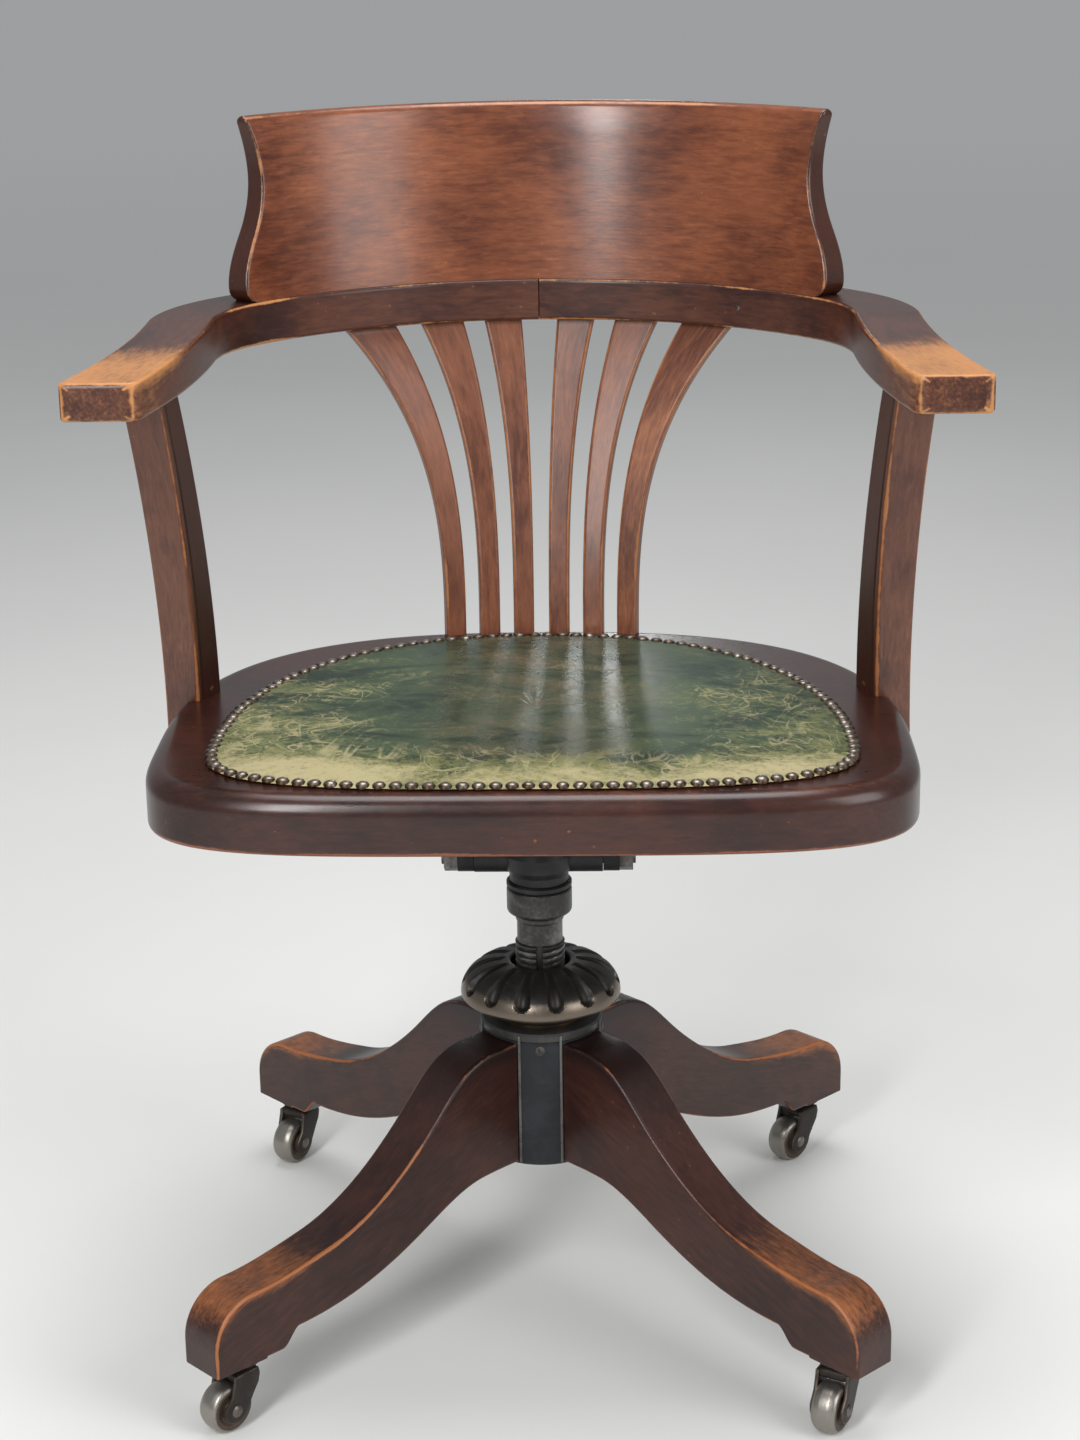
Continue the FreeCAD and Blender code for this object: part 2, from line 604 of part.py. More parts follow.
def wheel_outline(share):
    """Outline of the dome at a share of its rise: ribs and flutes that grow slighter towards the crown."""
    radius, height = dome_point(share)
    depth = FLUTE_DEPTH_RIM + (FLUTE_DEPTH_CROWN - FLUTE_DEPTH_RIM) * share
    width = FLUTE_WIDTH_RIM + (FLUTE_WIDTH_CROWN - FLUTE_WIDTH_RIM) * share
    mouth = math.degrees(width / 2 / radius)
    floor = FLUTE_FLOOR_SHARE * mouth
    points = []
    for index in range(FLUTE_COUNT):
        middle = 360.0 / FLUTE_COUNT * (index + 0.5) + FLUTE_START
        points.append(bearing_point(radius, middle - mouth, height))
        points.append(bearing_point(radius - depth, middle - floor, height))
        points.append(bearing_point(radius - depth, middle + floor, height))
        points.append(bearing_point(radius, middle + mouth, height))
    return Part.Wire(chain(points + points[:1]))


def handwheel():
    """Fluted dome above a plain band, with a shallow underside and a bored boss, dished on top round the screw."""
    foot = WHEEL_BOTTOM + WHEEL_BOSS_HEIGHT
    under = [vec(0, 0, WHEEL_BOTTOM), vec(WHEEL_BOSS_RADIUS, 0, WHEEL_BOTTOM)]
    under += [vec(WHEEL_BOSS_RADIUS, 0, foot)]
    under += [vec(WHEEL_FOOT_RADIUS, 0, foot), vec(WHEEL_TURN_RADIUS, 0, WHEEL_BOTTOM + WHEEL_TURN_HEIGHT)]
    band = [dome_point(WHEEL_BAND_SHARE * step / WHEEL_BAND_STEPS) for step in range(WHEEL_BAND_STEPS + 1)]
    under += [vec(radius, 0, height) for radius, height in band]
    under += [vec(0, 0, band[-1][1]), vec(0, 0, WHEEL_BOTTOM)]
    climb = (1.0 - WHEEL_BAND_SHARE) / WHEEL_DOME_STEPS
    levels = [wheel_outline(WHEEL_BAND_SHARE + climb * step) for step in range(WHEEL_DOME_STEPS + 1)]
    dome = Part.makeLoft(levels, True, True)
    recess = disc(WHEEL_RECESS_RADIUS, WHEEL_TOP - WHEEL_RECESS_DEPTH, WHEEL_RECESS_DEPTH)
    bore = disc(SPINDLE_RADIUS + RUNNING_FIT, WHEEL_BOTTOM, WHEEL_TOP - WHEEL_BOTTOM)
    return turned(chain(under)).fuse(dome).cut([recess, bore])


# Swivel and tilt


def swivel_yoke():
    """Pintle, bowl and cross tube with a stop nose in front and a spring arm behind, in one casting."""
    point_in, point_up = PINTLE_POINT
    waist_radius, waist_height = YOKE_BOWL_WAIST
    neck_top = YOKE_BOTTOM + YOKE_NECK_HEIGHT
    cap_top = TILT_HEIGHT + CROSS_TUBE_RADIUS
    groove = PINTLE_RADIUS - PINTLE_GROOVE_DEPTH
    groove_low = RETAINER_HEIGHT - PINTLE_GROOVE_WIDTH / 2
    groove_high = RETAINER_HEIGHT + PINTLE_GROOVE_WIDTH / 2
    pin = [vec(0, 0, PINTLE_BOTTOM), vec(PINTLE_RADIUS - point_in, 0, PINTLE_BOTTOM)]
    pin += [vec(PINTLE_RADIUS, 0, PINTLE_BOTTOM + point_up), vec(PINTLE_RADIUS, 0, groove_low)]
    pin += [vec(groove, 0, groove_low), vec(groove, 0, groove_high), vec(PINTLE_RADIUS, 0, groove_high)]
    pin += [vec(PINTLE_RADIUS, 0, YOKE_BOTTOM), vec(YOKE_NECK_RADIUS, 0, YOKE_BOTTOM)]
    pin += [vec(YOKE_NECK_RADIUS, 0, neck_top), vec(waist_radius, 0, YOKE_BOTTOM + waist_height)]
    cap = [vec(YOKE_BOWL_RADIUS, 0, YOKE_BOTTOM + YOKE_BOWL_HEIGHT)]
    cap += [vec(YOKE_BOWL_RADIUS - YOKE_CAP_TAPER, 0, cap_top)]
    cap += [vec(YOKE_BOWL_RADIUS - YOKE_CAP_SHOULDER, 0, cap_top + YOKE_CAP_CROWN)]
    cap += [vec(0, 0, cap_top + YOKE_CAP_CROWN), pin[0]]
    tube = bar_along_x(CROSS_TUBE_RADIUS, -CROSS_TUBE_END, CROSS_TUBE_END, TILT_HEIGHT)
    body = turned(chain(pin + cap)).fuse([tube, stop_nose(), spring_arm()]).removeSplitter()
    return body.cut(bar_along_x(TILT_AXLE_RADIUS + RUNNING_FIT, -CROSS_TUBE_END, CROSS_TUBE_END, TILT_HEIGHT))


def stop_nose():
    """Arm that curves forward and up to the buffer under the seat plate."""
    pad_top = SEAT_PLATE_BOTTOM - BUFFER_THICKNESS
    half = NOSE_WIDTH / 2
    tip_top = vec(-half, -NOSE_REACH, pad_top)
    tip_low = vec(-half, -NOSE_REACH, pad_top - NOSE_TIP_HEIGHT)
    pad_back = vec(-half, NOSE_PAD_LENGTH - NOSE_REACH, pad_top)
    root_top = vec(-half, 0, TILT_HEIGHT + CROSS_TUBE_RADIUS)
    root_low = vec(-half, 0, TILT_HEIGHT + TILT_AXLE_RADIUS + NOSE_ROOT_WALL)
    over = (pad_back + root_top) * 0.5 - vec(0, *NOSE_TOP_SAG)
    under = (tip_low + root_low) * 0.5 - vec(0, *NOSE_UNDER_SAG)
    edges = [line(root_low, root_top), arc(root_top, over, pad_back), line(pad_back, tip_top)]
    edges += [line(tip_top, tip_low), arc(tip_low, under, root_low)]
    return prism(edges, vec(NOSE_WIDTH, 0, 0))


def stop_buffer():
    across = (-NOSE_WIDTH / 2, NOSE_WIDTH / 2)
    along = (-NOSE_REACH, NOSE_PAD_LENGTH - NOSE_REACH)
    return block(across, along, (SEAT_PLATE_BOTTOM - BUFFER_THICKNESS, SEAT_PLATE_BOTTOM))


def spring_arm():
    half = SPRING_ARM_WIDTH / 2
    arm_start = TILT_AXLE_RADIUS + NOSE_ROOT_WALL
    arm_heights = (SPRING_SEAT - SPRING_ARM_HEIGHT, SPRING_SEAT - SPRING_ARM_STEP)
    arm = block((-half, half), (arm_start, SPRING_OFFSET), arm_heights)
    cup = disc(SPRING_CUP_RADIUS, SPRING_SEAT - SPRING_CUP_HEIGHT, SPRING_CUP_HEIGHT, 0, SPRING_OFFSET)
    foot = SPRING_MEAN_RADIUS - SPRING_WIRE / 2 - SPRING_SPIGOT_PLAY
    place = vec(0, SPRING_OFFSET, SPRING_SEAT)
    spigot = Part.makeCone(foot, foot - SPRING_SPIGOT_TAPER, SPRING_SPIGOT_HEIGHT, place)
    return arm.fuse([cup, spigot])


def spring_height(turns):
    """Height of the wire's centre line after so many turns: a closed turn, open turns, a closed turn."""
    closed = SPRING_WIRE + SPRING_CLOSED_GAP
    start = SPRING_SEAT + SPRING_WIRE / 2 - SPRING_GROUND
    end = SEAT_PLATE_BOTTOM - SPRING_WIRE / 2 + SPRING_GROUND
    open_pitch = (end - start - 2 * closed) / SPRING_ACTIVE_TURNS
    opened = min(max(turns - 1, 0), SPRING_ACTIVE_TURNS)
    return start + closed * (turns - opened) + open_pitch * opened


def spring_knot(half_turns):
    """Point and direction of the wire's centre line after so many half turns."""
    count = half_turns / 2
    nearby = 0.02
    angle = 2 * math.pi * count
    radial = vec(math.cos(angle), math.sin(angle), 0)
    climb = (spring_height(count + nearby) - spring_height(count - nearby)) / (4 * math.pi * nearby)
    direction = vec(-SPRING_MEAN_RADIUS * radial.y, SPRING_MEAN_RADIUS * radial.x, climb)
    point = radial * SPRING_MEAN_RADIUS + vec(0, SPRING_OFFSET, spring_height(count))
    return point, direction.normalize()


def spring_wire(point, direction):
    """Section of the wire square to its centre line."""
    outward = (point - vec(0, SPRING_OFFSET, point.z)).normalize()
    upward = direction.cross(outward)
    corners = []
    for side in range(SPRING_WIRE_SIDES + 1):
        angle = 2 * math.pi * side / SPRING_WIRE_SIDES
        corners.append(point + (outward * math.cos(angle) + upward * math.sin(angle)) * (SPRING_WIRE / 2))
    return Part.Wire(chain(corners))


def tilt_spring():
    """Compression spring of drawn wire with closed, ground ends, from biarcs of half a turn."""
    turns = SPRING_ACTIVE_TURNS + 2
    knots = [spring_knot(half) for half in range(2 * turns + 1)]
    path = Part.Wire(smooth(knots))
    print("spring least gap between turns", round(least_turn_gap(path), 2))
    tube = path.makePipeShell([spring_wire(*knots[0])], True, False)
    reach = 2 * SPRING_MEAN_RADIUS
    along = (SPRING_OFFSET - reach, SPRING_OFFSET + reach)
    return tube.common(block((-reach, reach), along, (SPRING_SEAT, SEAT_PLATE_BOTTOM)))


def least_turn_gap(path):
    """Least clear distance from the wire to its own next turn, measured on points of the centre line."""
    per_turn = 48
    points = path.discretize(Number=per_turn * (SPRING_ACTIVE_TURNS + 2))
    apart = per_turn * 3 // 4
    gaps = [(points[j] - points[i]).Length for i in range(len(points))
            for j in range(i + apart, min(i + 2 * apart, len(points)))]
    return min(gaps) - SPRING_WIRE


def seat_plate():
    """Iron plate under the seat with two lugs for the tilt axle."""
    across = (-SEAT_PLATE_HALF_WIDTH, SEAT_PLATE_HALF_WIDTH)
    plate = block(across, (SEAT_PLATE_FRONT, SEAT_PLATE_REAR), (SEAT_PLATE_BOTTOM, SEAT_BOTTOM))
    corners = [edge for edge in plate.Edges if edge.BoundBox.ZLength > SEAT_PLATE_THICKNESS / 2]
    plate = plate.makeFillet(SEAT_PLATE_CORNER, corners)
    body = plate.fuse([lug_web(LUG_INNER), lug_web(-LUG_OUTER)]).removeSplitter()
    return body.cut(bar_along_x(TILT_AXLE_RADIUS, -LUG_OUTER, LUG_OUTER, TILT_HEIGHT))


def lug_web(start):
    """Tapered web from the plate down to a round eye."""
    slope = math.atan2(LUG_FOOT_LENGTH / 2 - LUG_RADIUS, SEAT_PLATE_BOTTOM - TILT_HEIGHT)
    side_y = LUG_RADIUS * math.cos(slope)
    side_z = TILT_HEIGHT - LUG_RADIUS * math.sin(slope)
    front = vec(start, -LUG_FOOT_LENGTH / 2, SEAT_PLATE_BOTTOM)
    back = vec(start, LUG_FOOT_LENGTH / 2, SEAT_PLATE_BOTTOM)
    right = vec(start, side_y, side_z)
    left = vec(start, -side_y, side_z)
    bottom = vec(start, 0, TILT_HEIGHT - LUG_RADIUS)
    edges = [line(front, back), line(back, right), arc(right, bottom, left), line(left, front)]
    return prism(edges, vec(LUG_THICKNESS, 0, 0))


def tilt_axle():
    end = LUG_OUTER + NUT_HEIGHT + AXLE_END
    return bar_along_x(TILT_AXLE_RADIUS, -end, end, TILT_HEIGHT)


def axle_nut(start):
    radius = NUT_ACROSS_FLATS / math.sqrt(3)
    corners = [bearing_xz(radius, 30 + 60 * side) for side in range(7)]
    corners = [vec(start, corner.x, TILT_HEIGHT + corner.z) for corner in corners]
    return prism(chain(corners), vec(NUT_HEIGHT, 0, 0)).cut(tilt_axle())


# Seat


def d_knot(half_width, reach, widest, fullness, bearing, height):
    """Point and direction on a superellipse at a bearing, run anticlockwise."""
    across = math.cos(math.radians(bearing))
    along = math.sin(math.radians(bearing))
    x = math.copysign(abs(across) ** (2 / fullness), across)
    y = math.copysign(abs(along) ** (2 / fullness), along)
    slope_x = -math.copysign(abs(y) ** (fullness - 1), y) / reach
    slope_y = math.copysign(abs(x) ** (fullness - 1), x) / half_width
    point = vec(half_width * x, widest + reach * y, height)
    return point, vec(slope_x, slope_y, 0).normalize()


def d_outline(half_width, front, rear, widest, front_fullness, rear_fullness, height):
    """Closed D-shaped face: one superellipse ahead of the widest line and one behind it."""
    knots = []
    for bearing in OUTLINE_BEARINGS:
        behind = bearing < 180
        reach = rear - widest if behind else widest - front
        fullness = rear_fullness if behind else front_fullness
        knots.append(d_knot(half_width, reach, widest, fullness, bearing, height))
    return face_of(smooth(knots + knots[:1]))


def seat_blank():
    """Seat board before its joints: rounded nose above, bevelled edge below."""
    outline = d_outline(SEAT_HALF_WIDTH, SEAT_FRONT, SEAT_REAR, SEAT_WIDEST, SEAT_FRONT_FULLNESS,
                        SEAT_REAR_FULLNESS, SEAT_BOTTOM)
    body = outline.extrude(vec(0, 0, SEAT_THICKNESS))
    rims = [edge for edge in body.Edges if edge.BoundBox.ZLength < WOOD_FIT]
    middle = SEAT_BOTTOM + SEAT_THICKNESS / 2
    body = body.makeFillet(SEAT_NOSE_RADIUS, [edge for edge in rims if edge.CenterOfMass.z > middle])
    lower = [edge for edge in body.Edges if edge.BoundBox.ZMax < SEAT_BOTTOM + WOOD_FIT]
    return body.makeChamfer(SEAT_UNDER_BEVEL, lower)


def seat_board():
    tools = [arm_post(1), arm_post(-1)]
    tools += [slat_tenon(index, 0.0, WOOD_FIT) for index in range(len(SLAT_FEET))]
    return seat_blank().cut(tools)


def seat_pad():
    """Leather over stuffing: flat underneath, crowned on top, drawn in at the nailed edge."""
    outline = d_outline(PAD_HALF_WIDTH, PAD_FRONT, PAD_REAR, PAD_WIDEST, PAD_FRONT_FULLNESS,
                        PAD_REAR_FULLNESS, SEAT_TOP)
    body = outline.extrude(vec(0, 0, 2 * PAD_CROWN))
    crown_centre = vec(0, (PAD_FRONT + PAD_REAR) / 2, SEAT_TOP + PAD_CROWN - PAD_CROWN_RADIUS)
    body = body.common(Part.makeSphere(PAD_CROWN_RADIUS, crown_centre))
    rims = [edge for edge in body.Edges if edge.BoundBox.ZMin > SEAT_TOP + WOOD_FIT]
    return body.makeChamfer(PAD_EDGE_EASE, rims)


# Arms, slats, posts and crest


def bow_point(radius, degrees, height):
    """Point on the bow's rear arc, with the bearing measured from straight back towards +X."""
    angle = math.radians(degrees)
    return vec(radius * math.sin(angle), BOW_CENTRE + radius * math.cos(angle), height)


def bow_corner():
    """Centre of the corner arc and the bearing at which it leaves the rear arc."""
    x = BOW_HALF_WIDTH - BOW_CORNER_RADIUS
    rise = math.sqrt((BOW_REAR_RADIUS - BOW_CORNER_RADIUS) ** 2 - x * x)
    return vec(x, BOW_CENTRE + rise, BOW_UNDERSIDE), math.degrees(math.atan2(x, rise))


def flare(start, end):
    """Arc that leaves start straight towards -Y and bends sideways to end."""
    along = start.y - end.y
    aside = end.x - start.x
    radius = (along * along + aside * aside) / (2 * aside)
    half_turn = math.atan2(along, radius - aside) / 2
    middle = start + vec(radius * (1 - math.cos(half_turn)), -radius * math.sin(half_turn), 0)
    return arc(start, middle, end)


def bow_edge(offset, front_x):
    """Rear arc, corner arc and flared side of the bow, so far outside its inner edge."""
    centre, bearing = bow_corner()
    rear = BOW_REAR_RADIUS + offset
    corner = BOW_CORNER_RADIUS + offset
    middle_bearing = math.radians((bearing + 90) / 2)
    joint = bow_point(rear, bearing, BOW_UNDERSIDE)
    corner_middle = centre + vec(corner * math.sin(middle_bearing), corner * math.cos(middle_bearing), 0)
    side = centre + vec(corner, 0, 0)
    edges = [arc(bow_point(rear, 0, BOW_UNDERSIDE), bow_point(rear, bearing / 2, BOW_UNDERSIDE), joint)]
    edges += [arc(joint, corner_middle, side), flare(side, vec(front_x, ARM_FRONT, BOW_UNDERSIDE))]
    return edges


def arm_blank():
    """Right half of the bow, thinner towards the front of the arm, with eased edges."""
    outer_front = ARM_FRONT_INNER + ARM_FRONT_WIDTH
    rear_outer = BOW_REAR_RADIUS + BOW_WIDTH
    butt = line(bow_point(BOW_REAR_RADIUS, 0, BOW_UNDERSIDE), bow_point(rear_outer, 0, BOW_UNDERSIDE))
    nose = line(vec(ARM_FRONT_INNER, ARM_FRONT, BOW_UNDERSIDE), vec(outer_front, ARM_FRONT, BOW_UNDERSIDE))
    edges = bow_edge(0.0, ARM_FRONT_INNER) + bow_edge(BOW_WIDTH, outer_front) + [butt, nose]
    body = prism(edges, vec(0, 0, BOW_THICKNESS))
    slope_end = vec(0, bow_corner()[0].y, BOW_TOP)
    slope_front = vec(0, ARM_FRONT, BOW_UNDERSIDE + ARM_FRONT_THICKNESS)
    wedge = [slope_end, slope_front, vec(0, ARM_FRONT, BOW_TOP), slope_end]
    body = body.cut(prism(chain(wedge), vec(2 * outer_front, 0, 0)))
    at_front = [edge for edge in body.Edges if edge.BoundBox.YMax < ARM_FRONT + WOOD_FIT]
    body = body.makeFillet(ARM_FRONT_CORNER, [edge for edge in at_front if edge.BoundBox.XLength < WOOD_FIT])
    rims = [edge for edge in body.Edges if edge.BoundBox.ZLength < BOW_THICKNESS / 2
            and edge.BoundBox.XMax > WOOD_FIT and (edge.BoundBox.XMin < BOW_HALF_WIDTH / 2
            or edge.BoundBox.YLength > WOOD_FIT or edge.BoundBox.YMax < ARM_FRONT + WOOD_FIT)]
    return body.makeChamfer(ARM_EDGE_EASE, rims)


def arm(side):
    body = arm_blank()
    if side < 0:
        body = mirrored(body)
    tools = [slat_tenon(index, 1.0, WOOD_FIT) for index in range(len(SLAT_HEADS))]
    tools += bow_dowels() + crest_dowels() + [post_tenon(side, WOOD_FIT)]
    return body.cut(tools)


def bow_dowels():
    """Dowels across the butt joint at the back of the bow."""
    middle = BOW_REAR_INNER + BOW_WIDTH / 2
    height = (BOW_UNDERSIDE + BOW_TOP) / 2 + BOW_DOWEL_RISE
    dowel = bar_along_x(DOWEL_RADIUS, -BOW_DOWEL_LENGTH / 2, BOW_DOWEL_LENGTH / 2, height)
    return [move(dowel, 0, middle - BOW_DOWEL_SPACING / 2), move(dowel, 0, middle + BOW_DOWEL_SPACING / 2)]


def crest_dowels():
    """Upright dowels between the bow and the crest."""
    radius = CREST_INNER + CREST_BASE_THICKNESS / 2
    feet = [bow_point(radius, bearing, BOW_TOP - CREST_DOWEL_LENGTH / 2) for bearing in CREST_DOWEL_BEARINGS]
    return [Part.makeCylinder(DOWEL_RADIUS, CREST_DOWEL_LENGTH, foot) for foot in feet]


def crest_rail():
    """Curved board on the bow, thinner and leaning back towards its bevelled top, with ogee ends."""
    top = BOW_TOP + CREST_HEIGHT
    back = CREST_INNER + CREST_BASE_THICKNESS
    top_front = CREST_INNER + CREST_LEAN
    top_back = top_front + CREST_TOP_THICKNESS
    shoulder = top - CREST_TOP_BEVEL
    outline = [vec(CREST_INNER, 0, BOW_TOP), vec(top_front, 0, shoulder)]
    outline += [vec(top_front + CREST_TOP_BEVEL, 0, top)]
    outline += [vec(top_back - CREST_TOP_BEVEL, 0, top), vec(top_back, 0, shoulder), vec(back, 0, BOW_TOP)]
    section = face_of(chain(outline + outline[:1]))
    spread = CREST_HALF_ANGLE + CREST_END_SPARE
    section.rotate(ORIGIN, Z_AXIS, 90 - spread)
    body = section.revolve(ORIGIN, Z_AXIS, 2 * spread)
    body.translate(vec(0, BOW_CENTRE, 0))
    right = crest_end_cutter()
    return body.cut([right, mirrored(right)] + crest_dowels())


def crest_end_cutter():
    """Block beyond the ogee line at the crest's right end, square to the face there."""
    near = CREST_INNER / 2
    far = 2 * CREST_INNER
    knots = []
    for height, run, lean in CREST_OGEE:
        direction = vec(0, -math.sin(math.radians(lean)), math.cos(math.radians(lean)))
        knots.append((vec(near, -run, BOW_TOP + height), direction))
    foot, head = knots[0][0], knots[-1][0]
    beyond = vec(0, -CREST_INNER / 2, 0)
    edges = smooth(knots) + chain([head, head + beyond, foot + beyond, foot])
    body = prism(edges, vec(far - near, 0, 0))
    body.rotate(ORIGIN, Z_AXIS, 90 - CREST_HALF_ANGLE)
    return move(body, 0, BOW_CENTRE)


def slat_place(index, share):
    """Centre and facing of a slat at a share of its height: feet on the seat's rim, heads under the bow."""
    foot_x = SLAT_FEET[index]
    head_x = SLAT_HEADS[index]
    fullness = SEAT_REAR_FULLNESS
    rim_share = (1 - abs(foot_x / SEAT_HALF_WIDTH) ** fullness) ** (1 / fullness)
    foot_y = SEAT_WIDEST + (SEAT_REAR - SEAT_WIDEST) * rim_share - SLAT_FOOT_INSET
    head_radius = BOW_REAR_RADIUS + SLAT_HEAD_INSET
    head_y = BOW_CENTRE + math.sqrt(head_radius ** 2 - head_x ** 2)
    x = foot_x + (head_x - foot_x) * share ** SLAT_SWEEP_POWER
    y = foot_y + (head_y - foot_y) * share ** SLAT_RAKE_POWER
    facing = -math.degrees(math.atan2(x, y - BOW_CENTRE))
    return vec(x, y, SEAT_TOP + (BOW_UNDERSIDE - SEAT_TOP) * share), facing


def slat_section(index, share):
    centre, facing = slat_place(index, share)
    spread = (SLAT_HEAD_WIDTHS[index] - SLAT_FOOT_WIDTH) * share ** SLAT_WIDTH_POWER
    half = (SLAT_FOOT_WIDTH + spread) / 2
    deep = SLAT_THICKNESS / 2
    corners = [vec(-half, -deep, 0), vec(half, -deep, 0), vec(half, deep, 0), vec(-half, deep, 0)]
    section = turn(Part.Wire(chain(corners + corners[:1])), facing)
    return move(section, centre.x, centre.y, centre.z)


def slat_tenon(index, share, ease):
    """Stub at a slat's foot or head, or with ease its mortise."""
    centre, facing = slat_place(index, share)
    half = TENON_WIDTH / 2 + ease
    deep = TENON_THICKNESS / 2 + ease
    length = TENON_DEPTH + ease
    heights = (-length, 0) if share < 0.5 else (0, length)
    stub = turn(block((-half, half), (-deep, deep), heights), facing)
    return move(stub, centre.x, centre.y, centre.z)


def slat(index):
    sections = [slat_section(index, step / (SLAT_STATIONS - 1)) for step in range(SLAT_STATIONS)]
    body = Part.makeLoft(sections, True, False)
    return body.fuse([slat_tenon(index, 0.0, 0.0), slat_tenon(index, 1.0, 0.0)]).removeSplitter()


def post_section(side, height):
    """Rectangle of a post at a height, from its front inner corner outward and back."""
    share = (height - SEAT_TOP) / (BOW_UNDERSIDE - SEAT_TOP)
    swell = 4 * POST_BOW * share * (1 - share)
    corner_x = POST_FOOT_CORNER[0] + (POST_HEAD_CORNER[0] - POST_FOOT_CORNER[0]) * share - swell
    corner_y = POST_FOOT_CORNER[1] + (POST_HEAD_CORNER[1] - POST_FOOT_CORNER[1]) * share
    facing = POST_FOOT_TURN + (POST_HEAD_TURN - POST_FOOT_TURN) * share
    corners = [ORIGIN, vec(POST_WIDTH, 0, 0), vec(POST_WIDTH, POST_DEPTH, 0), vec(0, POST_DEPTH, 0)]
    section = turn(Part.Wire(chain(corners + corners[:1])), facing)
    section = move(section, corner_x, corner_y, height)
    return section if side > 0 else mirrored(section)


def arm_post(side):
    """Leaning post lapped over the seat's edge and tenoned into the arm."""
    foot = SEAT_TOP - POST_LAP
    middle = (foot + BOW_UNDERSIDE) / 2
    sections = [post_section(side, height) for height in (foot, middle, BOW_UNDERSIDE)]
    body = Part.makeLoft(sections, True, False)
    return body.fuse(post_tenon(side, 0.0)).removeSplitter()


def post_tenon(side, ease):
    centre = post_section(side, BOW_UNDERSIDE).BoundBox.Center
    half = POST_TENON_WIDTH / 2 + ease
    stub = block((-half, half), (-half, half), (0, POST_TENON_DEPTH + ease))
    return move(turn(stub, side * POST_HEAD_TURN), centre.x, centre.y, BOW_UNDERSIDE)


def save(name, shape):
    shape.exportStep("parts/" + name + ".step")


def build_base():
    save("hub_casting", hub_casting())
    save("hub_plate", hub_plate())
    save("hub_collar", hub_collar())
    save("guide_bush", guide_bush())
    save("spindle_key", spindle_key())
    save("wheel_washer", wheel_washer())
    for corner, bearing in LEG_BEARINGS.items():
        save("leg_" + corner, leg(bearing))
        save("castor_plate_" + corner, at_castor(castor_plate(), corner, False))
        save("castor_horn_" + corner, at_castor(castor_horn(), corner, True))
        save("castor_axle_" + corner, at_castor(castor_axle(), corner, True))
        save("castor_wheel_" + corner, at_castor(castor_wheel(), corner, True))


def build_screw_and_tilt():
    save("handwheel", handwheel())
    save("screw_spindle", screw_spindle())
    save("thrust_ring", thrust_ring())
    save("retaining_screw", retaining_screw())
    save("swivel_yoke", swivel_yoke())
    save("stop_buffer", stop_buffer())
    save("tilt_spring", tilt_spring())
    save("seat_plate", seat_plate())
    save("tilt_axle", tilt_axle())
    save("axle_nut_right", axle_nut(LUG_OUTER))
    save("axle_nut_left", axle_nut(-LUG_OUTER - NUT_HEIGHT))


def build_seat_and_back():
    save("seat_board", seat_board())
    save("seat_pad", seat_pad())
    save("arm_right", arm(1))
    save("arm_left", arm(-1))
    save("arm_post_right", arm_post(1))
    save("arm_post_left", arm_post(-1))
    save("bow_dowels", Part.makeCompound(bow_dowels()))
    save("crest_rail", crest_rail())
    save("crest_dowels", Part.makeCompound(crest_dowels()))
    for index in range(len(SLAT_FEET)):
        save("slat_" + str(index + 1), slat(index))


os.makedirs("parts", exist_ok=True)
build_base()
build_screw_and_tilt()
build_seat_and_back()
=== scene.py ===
import math

import bmesh
import bpy
import numpy as np
from bpy.props import FloatProperty, FloatVectorProperty, PointerProperty
from mathutils import Matrix, Vector


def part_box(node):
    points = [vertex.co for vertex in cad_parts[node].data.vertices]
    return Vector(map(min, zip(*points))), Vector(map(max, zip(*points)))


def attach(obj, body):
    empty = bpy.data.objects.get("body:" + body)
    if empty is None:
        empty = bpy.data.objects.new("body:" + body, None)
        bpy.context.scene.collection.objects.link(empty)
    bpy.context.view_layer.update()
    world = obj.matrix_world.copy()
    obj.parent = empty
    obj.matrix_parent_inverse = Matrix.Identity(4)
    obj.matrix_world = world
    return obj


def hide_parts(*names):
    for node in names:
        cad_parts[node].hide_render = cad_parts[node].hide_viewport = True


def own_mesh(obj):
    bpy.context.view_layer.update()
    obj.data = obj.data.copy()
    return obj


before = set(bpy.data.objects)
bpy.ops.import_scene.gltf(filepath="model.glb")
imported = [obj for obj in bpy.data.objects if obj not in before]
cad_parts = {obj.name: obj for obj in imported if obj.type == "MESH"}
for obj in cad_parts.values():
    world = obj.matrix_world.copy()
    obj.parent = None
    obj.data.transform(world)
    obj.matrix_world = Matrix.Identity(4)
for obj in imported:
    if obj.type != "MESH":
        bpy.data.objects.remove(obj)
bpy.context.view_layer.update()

bl_info = {
    "name": "Swivel desk armchair",
    "version": (1, 0, 0),
    "blender": (4, 5, 0),
    "location": "View3D > Sidebar > Chair",
    "description": "Dresses the frame of a screw-height desk armchair in stained wood, leather and iron",
    "category": "Object",
}

# Lengths are in metres. The screw's axis is the middle of the plan, and the sitter faces -Y.
CORNERS = ("front_left", "front_right", "rear_left", "rear_right")
LEG_BEARINGS = {"front_left": 225.0, "front_right": 315.0, "rear_left": 135.0, "rear_right": 45.0}
CASTOR_BEARINGS = {"front_left": 226.0, "front_right": 243.0, "rear_left": 240.0, "rear_right": 225.0}
HANDS = ((1, "right"), (-1, "left"))
UP = np.array([0.0, 0.0, 1.0])
SEAT_LOW, SEAT_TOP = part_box("seat_board")[0].z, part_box("seat_board")[1].z
BOW_LOW, BOW_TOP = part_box("arm_right")[0].z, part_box("arm_right")[1].z
CREST_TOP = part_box("crest_rail")[1].z

